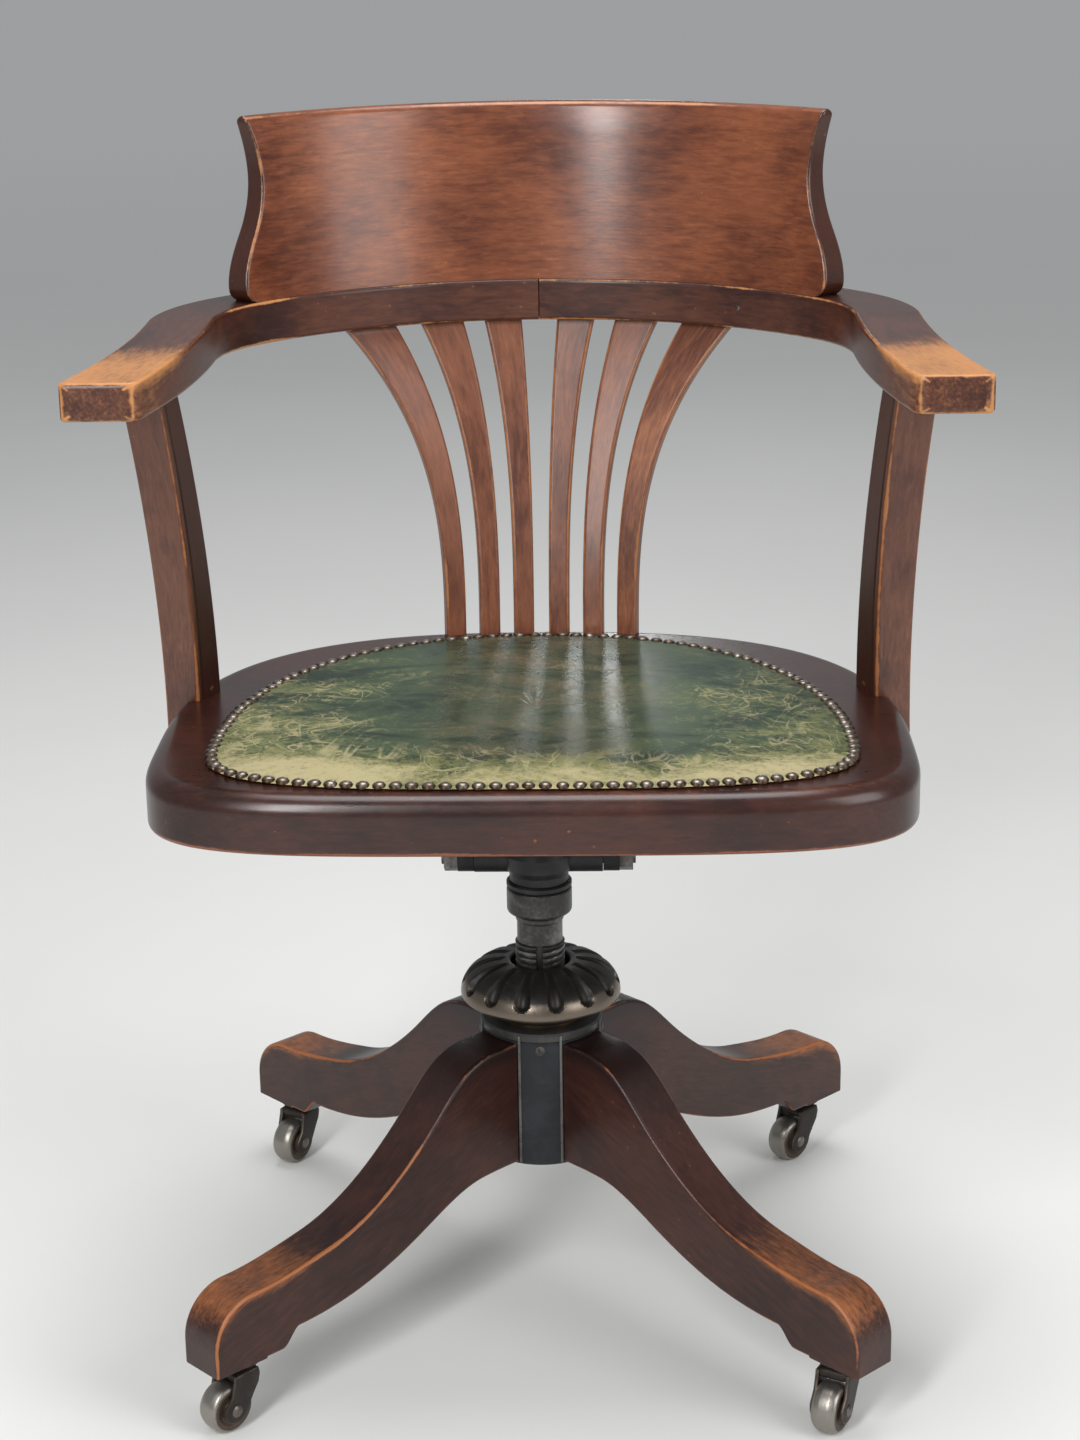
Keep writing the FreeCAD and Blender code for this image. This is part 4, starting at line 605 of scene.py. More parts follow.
class CHAIR_OT_castors(bpy.types.Operator):
    """Four castors: barrel wheels in cast horns with riveted axles"""
    bl_idname = "chair.castors"
    bl_label = "Castors"

    pivot_radius = 0.298
    trail = 0.013
    wheel_radius = 0.0185
    half_wheel = 0.0095
    wheel_columns = 56
    horn_top = 0.0497
    boss, bridge_long, bridge_wide = 0.0086, 0.0108, 0.0129
    cheek_inner = 0.0098
    cheek_thick = 0.0032
    eye_radius = 0.0095

    def wheel(self, middle, axle, out):
        """Barrel tread, rounded shoulders, a dished side with a raised boss, turned about the axle."""
        half, radius = self.half_wheel, self.wheel_radius
        side = [(0.0031, half), (0.0072, half), (0.0078, half - 0.0014), (0.0112, half - 0.0016),
                (0.0128, half - 0.0002), (0.0152, half), (radius - 0.0012, half - 0.0022), (radius, 0.0035)]
        profile = softened(side + [(reach, -aside) for reach, aside in reversed(side)], 0.0008, 3)
        points = turned(profile, middle, axle, out, self.wheel_columns)
        tread = smoothstep(0.0140, 0.0172, profile[:, 0])
        return surface(points, {"worn": column(tread)}, "joined")

    def cheek(self, place, sign):
        """Horn cheek: its side outline carried across the thickness and rounded at both faces."""
        turn = np.radians(np.linspace(200.0, 380.0, 20))
        eye = np.stack([self.trail + self.eye_radius * np.cos(turn),
                        self.wheel_radius + self.eye_radius * np.sin(turn)], axis=-1)
        rear = np.array([[0.0160, 0.0290], [0.0128, 0.0400], [0.0122, 0.0440]])
        front = np.array([[-0.0080, 0.0450], [-0.0092, 0.0405], [-0.0076, 0.0340], [-0.0030, 0.0270],
                          [0.0005, 0.0210]])
        outline = np.vstack([eye, rear, front])
        middle = np.array([0.0070, 0.0290])
        shares = np.array([0.02, 0.5, 0.86, 0.96, 1.0, 1.0, 0.96, 0.86, 0.5, 0.02])
        depth = np.array([0.0, 0.0, 0.0, 0.06, 0.25, 0.75, 0.94, 1.0, 1.0, 1.0]) * self.cheek_thick
        flat = middle + (outline - middle) * shares[:, None, None]
        aside = sign * (self.cheek_inner + np.broadcast_to(depth[:, None], flat.shape[:2]))
        worn = column(smoothstep(0.9, 1.0, shares) * 0.6)
        return surface(place(flat[..., 0], aside, flat[..., 1]), {"worn": worn})

    def crown(self, place):
        """Top of the horn: a round boss that spreads into the bridge over the wheel."""
        # Height, how square the outline is there, and the share that its rounded edges leave
        levels = np.array([(0.0385, 1.0, 0.9), (0.0400, 1.0, 1.0), (0.0432, 1.0, 1.0), (0.0446, 0.9, 0.97),
                           (0.0455, 0.45, 1.0), (0.0462, 0.1, 1.0), (0.0470, 0.0, 1.0), (0.0490, 0.0, 1.0),
                           (self.horn_top, 0.0, 0.93)])
        height, square, ease = levels.T[..., None]
        turn = np.linspace(0.0, 2 * np.pi, 48, endpoint=False)
        power = 2.0 / (2.0 + 3.5 * square)
        long = self.boss + (self.bridge_long - self.boss) * square
        wide = self.boss + (self.bridge_wide - self.boss) * square
        x = 0.0015 * square + ease * long * np.sign(np.cos(turn)) * np.abs(np.cos(turn)) ** power
        y = ease * wide * np.sign(np.sin(turn)) * np.abs(np.sin(turn)) ** power
        z = np.broadcast_to(height, x.shape)
        return surface(place(x, y, z), {"worn": smoothstep(0.0462, 0.0485, z) * 0.35})

    def execute(self, context):
        horn = iron("castor_iron", (0.022, 0.017, 0.014), (0.16, 0.13, 0.10), 0.44, 0.4, 1.4)
        wheel = iron("castor_wheel_metal", (0.060, 0.042, 0.030), (0.30, 0.28, 0.25), 0.46, 0.4, 1.6)
        steel = plain_metal("dark_steel_castor", (0.20, 0.18, 0.16), 0.36, (0.06, 0.05, 0.045))
        plate = iron("castor_plate_iron", (0.020, 0.018, 0.017), (0.22, 0.20, 0.18), 0.45, 0.5, 1.4)
        for corner in CORNERS:
            pivot = bearing(LEG_BEARINGS[corner])[0] * self.pivot_radius
            out, side = bearing(CASTOR_BEARINGS[corner])

            def place(x, y, z):
                """Castor's own run, width and height to the chair's frame."""
                return pivot + x[..., None] * out + y[..., None] * side + z[..., None] * UP

            centre = pivot + out * self.trail + UP * self.wheel_radius
            piece("castor_roller_" + corner, self.wheel(centre, side, out), "roller_" + corner,
                  wheel, ("castor_wheel_" + corner,))
            body = "castor_" + corner
            piece("castor_crown_" + corner, self.crown(place), body, horn,
                  ("castor_horn_" + corner,))
            for sign, hand in ((1, "a"), (-1, "b")):
                piece("castor_cheek_" + corner + "_" + hand, self.cheek(place, sign), body, horn)
            reach = self.cheek_inner + self.cheek_thick
            half = [(0.0029, reach - 0.0006), (0.0045, reach - 0.0005), (0.0045, reach + 0.0003),
                    (0.0030, reach + 0.0014), (0.0001, reach + 0.0016)]
            pin = [(radius, -height) for radius, height in reversed(half)] + half
            piece("castor_pin_" + corner, surface(turned(pin, centre, side, out, 28)), body, steel,
                  ("castor_axle_" + corner,))
            dress(plate, "castor_plate_" + corner)
        return {"FINISHED"}


class CHAIR_OT_hub(bpy.types.Operator):
    """Iron hub with its collar, edge strips between the legs and a screw on each face"""
    bl_idname = "chair.hub"
    bl_label = "Hub"

    hub_radius = 0.046
    strip_turn, strip_wear = 19.3, 0.6
    # Heights up a strip and its share of the full section there: half width, half depth and corner radius
    strip = ((0.1178, 0.5), (0.1183, 0.85), (0.1198, 1.0), (0.2190, 1.0), (0.2202, 0.85), (0.2206, 0.5))
    strip_section = (0.0011, 0.0012, 0.0005)
    screw_height = 0.2095

    def execute(self, context):
        black = iron("black_iron_hub", (0.017, 0.018, 0.021), (0.24, 0.23, 0.22), 0.46, 0.35)
        bright = iron("worn_iron_strip", (0.050, 0.049, 0.050), (0.20, 0.19, 0.18), 0.46, 0.5)
        collar = iron("black_iron_collar", (0.045, 0.043, 0.042), (0.30, 0.28, 0.26), 0.46, 0.4)
        dress(black, "hub_casting", "hub_plate")
        dress(collar, "hub_collar")
        brass = plain_metal("brass_bush", (0.13, 0.085, 0.04), 0.42, (0.05, 0.035, 0.022))
        dress(brass, "guide_bush", "wheel_washer")
        dress(plain_metal("dark_steel_key", (0.16, 0.155, 0.15), 0.40, (0.05, 0.048, 0.045)), "spindle_key")
        height, shrink = np.array(self.strip).T
        across, up, _ = rounded_section(*(size * shrink for size in self.strip_section))
        for number in range(4):
            facing = 90.0 * number - 90.0
            for sign, hand in HANDS:
                out, side = bearing(facing + sign * self.strip_turn)
                middle = out * self.hub_radius + UP * column(height)
                points = carried(across, up, middle, side, out)
                mesh = surface(points, {"worn": self.strip_wear})
                piece("hub_strip_%d_%s" % (number, hand), mesh, "base", bright)
            out, side = bearing(facing)
            seat = out * (self.hub_radius - 0.0004) + UP * self.screw_height
            piece("hub_screw_%d" % number, screw_head(seat, out, side, 0.0036, 0.0012), "base", collar)
        return {"FINISHED"}


def screw_head(seat, out, side, radius, rise, slot_turn=0.4, slot_share=0.16):
    """Slotted dome on a seat: a disc mapped from a square, raised as a cap and cut by a slot across it."""
    grid = np.linspace(-1.0, 1.0, 25)
    u, v = np.meshgrid(grid, grid)
    x, y = u * np.sqrt(1 - v * v / 2), v * np.sqrt(1 - u * u / 2)
    across = x * math.cos(slot_turn) + y * math.sin(slot_turn)
    height = rise * np.sqrt(np.clip(1 - 0.85 * (x * x + y * y), 0.0, 1.0))
    height = np.where(np.abs(across) < slot_share, np.minimum(height, rise * 0.35), height)
    other = np.cross(out, side)
    top = seat + radius * (x[..., None] * side + y[..., None] * other) + height[..., None] * out
    size = len(grid)
    index = np.arange(size * size).reshape(size, size)
    quads = np.stack([index[:-1, :-1], index[:-1, 1:], index[1:, 1:], index[1:, :-1]], axis=-1).reshape(-1, 4)
    rim = np.concatenate([index[0, :-1], index[:-1, -1], index[-1, :0:-1], index[:0:-1, 0]])
    foot = top.reshape(-1, 3)[rim] - out * (rise * 0.6)
    low = size * size + np.arange(len(rim))
    wall = np.stack([np.roll(rim, -1), rim, low, np.roll(low, -1)], axis=-1)
    places = np.vstack([top.reshape(-1, 3), foot])
    faces = quads.tolist() + wall.tolist() + [low[::-1].tolist()]
    return meshed(places, faces, {"worn": np.full(len(places), 0.45)}, 50.0)


# Height screw and tilt


class CHAIR_OT_height_screw(bpy.types.Operator):
    """Screw spindle with its thread, keyway, neck and socket, and the ring that the swivel turns on"""
    bl_idname = "chair.height_screw"
    bl_label = "Height screw"

    radius = 0.0185
    bottom = 0.120
    thread_top = 0.2805
    key_half = 0.00255
    key_floor = 0.01525

    def profile(self):
        """Heights and plain radii: screw, neck, flared socket, and the mouth that takes the pintle."""
        screw = np.arange(self.bottom, self.thread_top, 0.00055)
        upper = softened([(0.0170, self.thread_top + 0.0006), (0.0170, 0.2975), (0.0180, 0.2980), (0.0180, 0.3020),
                          (0.0236, 0.3046), (0.0243, 0.3062), (0.0243, 0.3225), (0.0228, 0.3240),
                          (0.0126, 0.3240), (0.0125, 0.3000)], 0.0012, 4)
        height = np.concatenate([screw, upper[:, 1]])
        radius = np.concatenate([np.full(len(screw), self.radius), upper[:, 0]])
        return height, radius, np.arange(len(height)) < len(screw)

    def execute(self, context):
        sizes = context.scene.chair_sizes
        height, radius, threaded = self.profile()
        gap = math.asin(self.key_half / self.radius)
        open_turn = np.linspace(gap, 2 * np.pi - gap, 72)
        slot_turn = np.linspace(-gap * 0.999, gap * 0.999, 5)
        turn = np.concatenate([slot_turn, open_turn]) - np.pi / 2
        in_slot = np.arange(len(turn)) < len(slot_turn)
        phase = (height[:, None] / sizes.thread_pitch - turn / (2 * np.pi)) % 1.0
        groove = smoothstep(0.46, 0.62, phase) * (1 - smoothstep(0.84, 1.0, phase))
        fade = smoothstep(self.thread_top, self.thread_top - 0.004, height)[:, None] * threaded[:, None]
        reach = radius[:, None] - sizes.thread_depth * groove * fade
        floor = self.key_floor / np.cos(np.concatenate([slot_turn, np.zeros(len(open_turn))]))
        reach = np.where(in_slot & threaded[:, None], np.minimum(reach, floor), reach)
        points = np.stack([reach * np.cos(turn), reach * np.sin(turn),
                           np.broadcast_to(height[:, None], reach.shape)], axis=-1)
        crest = (1 - groove) * fade * 0.55 + (1 - threaded[:, None]) * 0.45
        worn = np.where(in_slot & threaded[:, None], 0.1, crest)
        steel = iron("dark_steel_screw", (0.045, 0.043, 0.042), (0.27, 0.26, 0.25), 0.40, 0.7, 0.8)
        piece("screw_thread", surface(points, {"worn": worn}), "spindle", steel, ("screw_spindle",))
        dress(plain_metal("dark_steel_retainer", (0.16, 0.155, 0.15), 0.4, (0.05, 0.048, 0.045)), "retaining_screw")
        dress(soft_black("black_leather_ring", (0.012, 0.011, 0.011), 0.5), "thrust_ring")
        return {"FINISHED"}


class CHAIR_OT_handwheel(bpy.types.Operator):
    """Cast handwheel: a fluted dome over a smooth tucked-in rim"""
    bl_idname = "chair.handwheel"
    bl_label = "Handwheel"

    flutes = 14
    rim, rim_height = 0.0600, 0.24005
    crown, rise = 0.0270, 0.0250
    bottom = 0.22405
    band, mouth = 0.14, 0.13
    rim_half_wide, crown_half_wide = 0.0068, 0.0030
    rim_deep, crown_deep = 0.0064, 0.0026

    def execute(self, context):
        dome = np.linspace(0.0, 1.0, 34)
        lift = dome * np.pi / 2
        dome_profile = np.stack([self.crown + (self.rim - self.crown) * np.cos(lift),
                                 self.rim_height + self.rise * np.sin(lift)], axis=-1)
        under = softened([(0.0187, self.bottom), (0.0340, self.bottom), (0.0342, 0.2329), (0.0470, 0.2331),
                          (0.0578, 0.2370), (0.0597, 0.2388), (0.0600, 0.23995)], 0.0016, 4)
        top = softened([(0.0268, 0.26505), (0.0228, 0.2652), (0.0220, 0.2630), (0.0220, 0.2535), (0.0187, 0.2530)],
                       0.0012, 4)
        profile = np.vstack([under, dome_profile, top])
        share = np.concatenate([np.full(len(under), -1.0), dome, np.full(len(top), -1.0)])[:, None]
        on_dome = share >= 0
        columns = self.flutes * 28
        turn = np.linspace(0.0, 2 * np.pi, columns, endpoint=False)
        pitch = 2 * np.pi / self.flutes
        aside = np.abs((turn + np.pi / 2) % pitch - pitch / 2)
        # A flute opens with a round end just above the rim and narrows towards the crown.
        start = np.sqrt(np.clip(1 - (1 - np.clip((share - self.band) / self.mouth, 0, 1)) ** 2, 0, 1))
        half_width = self.rim_half_wide + (self.crown_half_wide - self.rim_half_wide) * share
        half_width = half_width * np.maximum(start, 0.02)
        depth = self.rim_deep + (self.crown_deep - self.rim_deep) * share
        depth = depth * start ** 0.4 * smoothstep(1.06, 0.86, share)
        hollow = np.sqrt(np.clip(1 - (aside * profile[:, :1] / half_width) ** 2, 0, 1)) * on_dome * (start > 0.05)
        reach = profile[:, :1] - depth * hollow * np.cos(np.clip(share, 0, 1) * 0.9)
        height = profile[:, 1:] - depth * hollow * np.sin(np.clip(share, 0, 1) * 0.9) * 0.8
        points = np.stack([reach * np.cos(turn), reach * np.sin(turn), height + 0 * turn], axis=-1)
        ridge = (1 - hollow) * np.where(on_dome, 1 - smoothstep(0.10, 0.40, share), 0.0)
        rubbed = smoothstep(0.050, 0.0575, profile[:, :1]) * np.where(on_dome, 0.0, 1.0)
        worn = np.clip(rubbed * 0.9 + ridge * 0.9 + (1 - hollow) * 0.30 * on_dome + 0 * turn, 0.0, 1.0)
        finish = iron("black_iron_wheel", (0.018, 0.016, 0.014), (0.165, 0.135, 0.108), 0.44, 0.4, 0.9)
        mesh = surface(points, {"worn": worn}, "joined")
        piece("fluted_wheel", mesh, "wheel", finish, ("handwheel",))
        return {"FINISHED"}


class CHAIR_OT_tilt(bpy.types.Operator):
    """Swivel yoke, tilt axle, spring and seat plate, with the screws that hold the plate to the seat"""
    bl_idname = "chair.tilt"
    bl_label = "Swivel and tilt"

    wire, coil_radius, coil_y = 0.0056, 0.016, 0.076
    open_turns = 3
    closed_pitch, ground = 0.0063, 0.0012
    pressed = 0.70
    screw_inset, screw_rows, screw_seat = 0.013, (-0.088, 0.006, 0.100), 0.4204

    def spring(self):
        """Coil spring: a circle carried up a helix that lies closed on its first and last turns, and is cut level
        at both ends."""
        low, high = (corner.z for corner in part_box("tilt_spring"))
        turns = np.linspace(0.0, self.open_turns + 2.0, 48 * (self.open_turns + 2) + 1)
        opened = np.clip(turns - 1, 0, self.open_turns)
        start = low + self.wire / 2 - self.ground
        open_pitch = (high - low - self.wire + 2 * self.ground - 2 * self.closed_pitch) / self.open_turns
        height = start + self.closed_pitch * (turns - opened) + open_pitch * opened
        angle = 2 * np.pi * turns
        out, _ = ways(angle)
        middle = out * self.coil_radius + np.stack([0 * height, 0 * height + self.coil_y, height], axis=-1)
        side = np.broadcast_to(np.linspace(0.0, 2 * np.pi, 14, endpoint=False), (len(turns), 14))
        reach = self.wire / 2
        points = carried(reach * np.cos(side), reach * np.sin(side), middle, out, UP)
        points[..., 2] = np.clip(points[..., 2], low, high)
        return surface(points), low

    def execute(self, context):
        black = iron("black_iron_yoke", (0.018, 0.018, 0.020), (0.22, 0.21, 0.20), 0.44, 0.4)
        steel = plain_metal("dark_steel_axle", (0.17, 0.16, 0.15), 0.38, (0.055, 0.050, 0.046))
        dress(black, "swivel_yoke", "seat_plate")
        dress(steel, "tilt_axle", "axle_nut_right", "axle_nut_left")
        mesh, low = self.spring()
        coil = piece("coil_spring", mesh, "swivel",
                     plain_metal("spring_steel", (0.14, 0.135, 0.13), 0.36, (0.05, 0.045, 0.04)), ("tilt_spring",))
        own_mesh(coil)
        dress(soft_black("rubber", (0.014, 0.013, 0.013), 0.62), "stop_buffer")
        side = np.array([1.0, 0.0, 0.0])
        left, right = (corner.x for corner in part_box("seat_plate"))
        spots = [(x, y) for x in (left + self.screw_inset, right - self.screw_inset) for y in self.screw_rows]
        for number, (x, y) in enumerate(spots):
            seat = np.array([x, y, self.screw_seat])
            mesh = screw_head(seat, -UP, side, 0.0055, 0.0018, 0.5 + number * 0.9)
            piece("plate_screw_%d" % number, mesh, "seat", black)
        return {"FINISHED"}


# Seat


class CHAIR_OT_seat_board(bpy.types.Operator):
    """D-shaped seat board with a rounded nose above and an eased edge below"""
    bl_idname = "chair.seat_board"
    bl_label = "Seat board"

    nose, under = 0.013, 0.003
    ring = 0.045

    def execute(self, context):
        points, normals = d_outline(SEAT_OUTLINE, 320)
        turn = np.linspace(0.0, np.pi / 2, 9)
        low = np.stack([self.under * (1 - np.sin(turn[::2])), SEAT_LOW + self.under * (1 - np.cos(turn[::2]))], -1)
        high = np.stack([self.nose * (1 - np.cos(turn)), SEAT_TOP - self.nose * (1 - np.sin(turn))], axis=-1)
        profile = np.vstack([[(self.ring, SEAT_LOW), (0.020, SEAT_LOW), (0.0045, SEAT_LOW)], low,
                             [(0.0, SEAT_LOW + 0.0045), (0.0, SEAT_LOW + 0.012), (0.0, SEAT_LOW + 0.020),
                              (0.0, SEAT_TOP - self.nose - 0.0015)], high,
                             [(self.nose + 0.0015, SEAT_TOP), (0.022, SEAT_TOP), (0.034, SEAT_TOP),
                              (self.ring, SEAT_TOP)]])
        inset, height = profile[:, :1], profile[:, 1:]
        flat = points[None] - normals[None] * inset[..., None]
        places = np.concatenate([flat, np.broadcast_to(height[..., None], (*flat.shape[:2], 1))], axis=-1)
        from_low = np.hypot(inset - self.under * 0.3, height - SEAT_LOW - self.under * 0.3) - 0.0012
        from_nose = np.hypot(inset - self.nose * 0.22, height - SEAT_TOP + self.nose * 0.22) + 0.0022
        edge = np.minimum(from_low, from_nose)
        worn = 0.14 + 0.24 * smoothstep(-0.14, -0.205, flat[..., 1])
        rub = worn * smoothstep(0.002, 0.008, inset) * smoothstep(0.022, 0.012, inset)
        finish = stained_wood("stained_wood_seat", WOOD_TONES["seat"], (3.0, 1.0, 0.0), 0.9, 0.28, 0.25, 0.6)
        wooden("wood_seat", "seat_board", places, places, edge, rub, finish)
        return {"FINISHED"}


class CHAIR_OT_leather_pad(bpy.types.Operator):
    """Leather stretched over stuffing, swelled as cloth and drawn down along its nailed edge"""
    bl_idname = "chair.leather_pad"
    bl_label = "Leather pad"

    columns, rows = 234, 26
    middle = np.array([0.0, -0.045])
    edge_rise, crown_rise, edge_drop, dimple = 0.0026, 0.0052, 0.0014, 0.0005
    held_below = 0.0034
    swell_frames = 20

    def rest_form(self, nails):
        """Rings from the middle to the edge: a low crown that falls away at the edge, dimpled at each nail."""
        points, _ = d_outline(PAD_OUTLINE, self.columns)
        share = np.linspace(0.03, 1.0, self.rows) ** 0.8
        flat = self.middle + (points - self.middle) * share[:, None, None]
        crown = self.edge_rise + self.crown_rise * (1 - share ** 2.2) - self.edge_drop * smoothstep(0.955, 1.0, share)
        ripple = np.cos(np.arange(self.columns) / self.columns * 2 * np.pi * nails)
        height = column(crown) - self.dimple * ripple * column(smoothstep(0.90, 0.975, share))
        top = np.concatenate([flat, (SEAT_TOP + height)[..., None]], axis=-1)
        foot = np.concatenate([flat[-1:], np.full((1, self.columns, 1), SEAT_TOP + 0.0002)], axis=-1)
        return np.concatenate([top, foot])

    def swell(self, made, cap):
        """Runs the leather as cloth under a little pressure, held along its edge, and keeps each point within the
        cap of where it started."""
        mesh = made.data
        start = np.empty(len(mesh.vertices) * 3)
        mesh.vertices.foreach_get("co", start)
        start = start.reshape(-1, 3)
        held = made.vertex_groups.new(name="held")
        low = np.flatnonzero(start[:, 2] < SEAT_TOP + self.held_below)
        held.add(low.tolist(), 1.0, "REPLACE")
        cloth = made.modifiers.new("swell", "CLOTH")
        hide = cloth.settings
        hide.vertex_group_mass = held.name
        hide.use_pressure, hide.uniform_pressure_force = True, 4.0
        hide.effector_weights.gravity = 0.0
        hide.tension_stiffness = hide.compression_stiffness = 40.0
        hide.bending_stiffness, hide.quality = 4.0, 6
        scene = bpy.context.scene
        for frame_number in range(1, self.swell_frames + 1):
            scene.frame_set(frame_number)
        graph = bpy.context.evaluated_depsgraph_get()
        shaped = made.evaluated_get(graph).to_mesh()
        end = np.empty(len(mesh.vertices) * 3)
        shaped.vertices.foreach_get("co", end)
        made.evaluated_get(graph).to_mesh_clear()
        made.modifiers.remove(cloth)
        made.vertex_groups.remove(held)
        scene.frame_set(1)
        moved = np.nan_to_num(end.reshape(-1, 3) - start)
        far = np.linalg.norm(moved, axis=1, keepdims=True)
        moved *= np.minimum(1.0, cap / np.maximum(far, 1e-9))
        mesh.vertices.foreach_set("co", (start + moved).ravel())
        mesh.update()

    def execute(self, context):
        sizes = context.scene.chair_sizes
        points = self.rest_form(nail_count(sizes))
        front = smoothstep(-0.115, -0.185, points[..., 1])
        sides = smoothstep(0.06, 0.19, np.abs(points[..., 0]))
        rear = smoothstep(0.0, 0.13, points[..., 1])
        sides = sides * (0.58 - 0.16 * smoothstep(-0.05, 0.05, points[..., 0]))
        rub = np.clip(front * 0.82 + sides * (1 - rear * 0.85), 0.0, 1.0)
        mesh = surface(points, {"rub": rub})
        made = piece("leather_seat", mesh, "seat", old_leather(context.scene.chair_colours),
                     ("seat_pad",))
        self.swell(made, sizes.pad_swell)
        smooth = made.modifiers.new("smooth", "SUBSURF")
        smooth.levels = smooth.render_levels = 1
        return {"FINISHED"}


def nail_count(sizes):
    points, _ = d_outline(PAD_OUTLINE, 720)
    around = np.linalg.norm(np.roll(points, -1, axis=0) - points, axis=1).sum()
    return int(round(around / sizes.nail_pitch))


class CHAIR_OT_nails(bpy.types.Operator):
    """Close row of dome nails along the edge of the leather"""
    bl_idname = "chair.nails"
    bl_label = "Dome nails"

    sides = 10
    sunk = 0.0018

    def execute(self, context):
        sizes = context.scene.chair_sizes
        count = nail_count(sizes)
        points, normals = d_outline(PAD_OUTLINE, count)
        chance = np.random.default_rng(11)
        centre = points - normals * sizes.nail_inset + chance.normal(0.0, 0.00022, (count, 2))
        size = sizes.nail_radius * (1 + chance.normal(0.0, 0.02, count))
        tilt = chance.normal(0.0, 0.05, (count, 2))
        # Each dome: rings at these shares of the radius, raised as a cap, on a short skirt.
        ring = np.array([1.0, 1.0, 0.80, 0.45])
        lift = np.array([-0.25, 0.05, 0.62, 0.93]) * sizes.nail_rise
        turn = np.linspace(0.0, 2 * np.pi, self.sides, endpoint=False)
        x = ring[:, None] * np.cos(turn)
        y = ring[:, None] * np.sin(turn)
        local = np.stack([x, y], axis=-1)[None] * size[:, None, None, None]
        height = lift[None, :, None] + (local * tilt[:, None, None, :]).sum(axis=-1)
        base = SEAT_TOP + self.sunk
        domes = np.concatenate([centre[:, None, None, :] + local, (base + height)[..., None]], axis=-1)
        tips = np.concatenate([centre, np.full((count, 1), base + sizes.nail_rise)], axis=-1)
        verts = np.concatenate([domes.reshape(count, -1, 3), tips[:, None]], axis=1)
        tip = len(ring) * self.sides
        index = np.arange(tip).reshape(len(ring), self.sides)
        after = np.roll(index, -1, axis=1)
        quads = np.stack([index[:-1], after[:-1], after[1:], index[1:]], axis=-1).reshape(-1, 4)
        tops = np.stack([index[-1], after[-1], np.full(self.sides, tip)], axis=-1)
        first = np.arange(count)[:, None, None] * (tip + 1)
        bottoms = index[0, ::-1][None, None] + first
        faces = (quads[None] + first).reshape(-1, 4).tolist() + (tops[None] + first).reshape(-1, 3).tolist()
        faces += bottoms.reshape(-1, self.sides).tolist()
        worn = np.concatenate([np.repeat([0.0, 0.15, 0.6, 0.9], self.sides), [1.0]])
        mesh = meshed(verts.reshape(-1, 3), faces, {"worn": np.tile(worn, count)}, 70.0)
        piece("dome_nails", mesh, "seat", nail_metal())
        return {"FINISHED"}


# Arms, crest, slats and posts


def bow_corner():
    """Middle of the bow's corner arc, and the bearing at which it leaves the rear arc."""
    x = BOW_HALF - BOW_CORNER
    rise = math.sqrt((BOW_INNER - BOW_CORNER) ** 2 - x * x)
    return np.array([x, BOW_CENTRE + rise]), math.atan2(x, rise)


def bow_edge(offset, front_x, rear_turn, corner_turn, side_y):
    """Rear arc, corner arc and flared side of the bow in plan, so far outside its inner edge."""
    centre, _ = bow_corner()
    rear = (BOW_INNER + offset) * np.stack([np.sin(rear_turn), np.cos(rear_turn)], axis=-1)
    corner = (BOW_CORNER + offset) * np.stack([np.sin(corner_turn), np.cos(corner_turn)], axis=-1)
    run = centre[1] - side_y
    whole = centre[1] - ARM_FRONT
    aside = front_x - BOW_HALF - offset
    radius = (whole ** 2 + aside ** 2) / (2 * aside)
    side = np.stack([BOW_HALF + offset + radius - np.sqrt(radius ** 2 - run ** 2), side_y], axis=-1)
    return np.vstack([rear + np.array([0.0, BOW_CENTRE]), corner + centre, side])


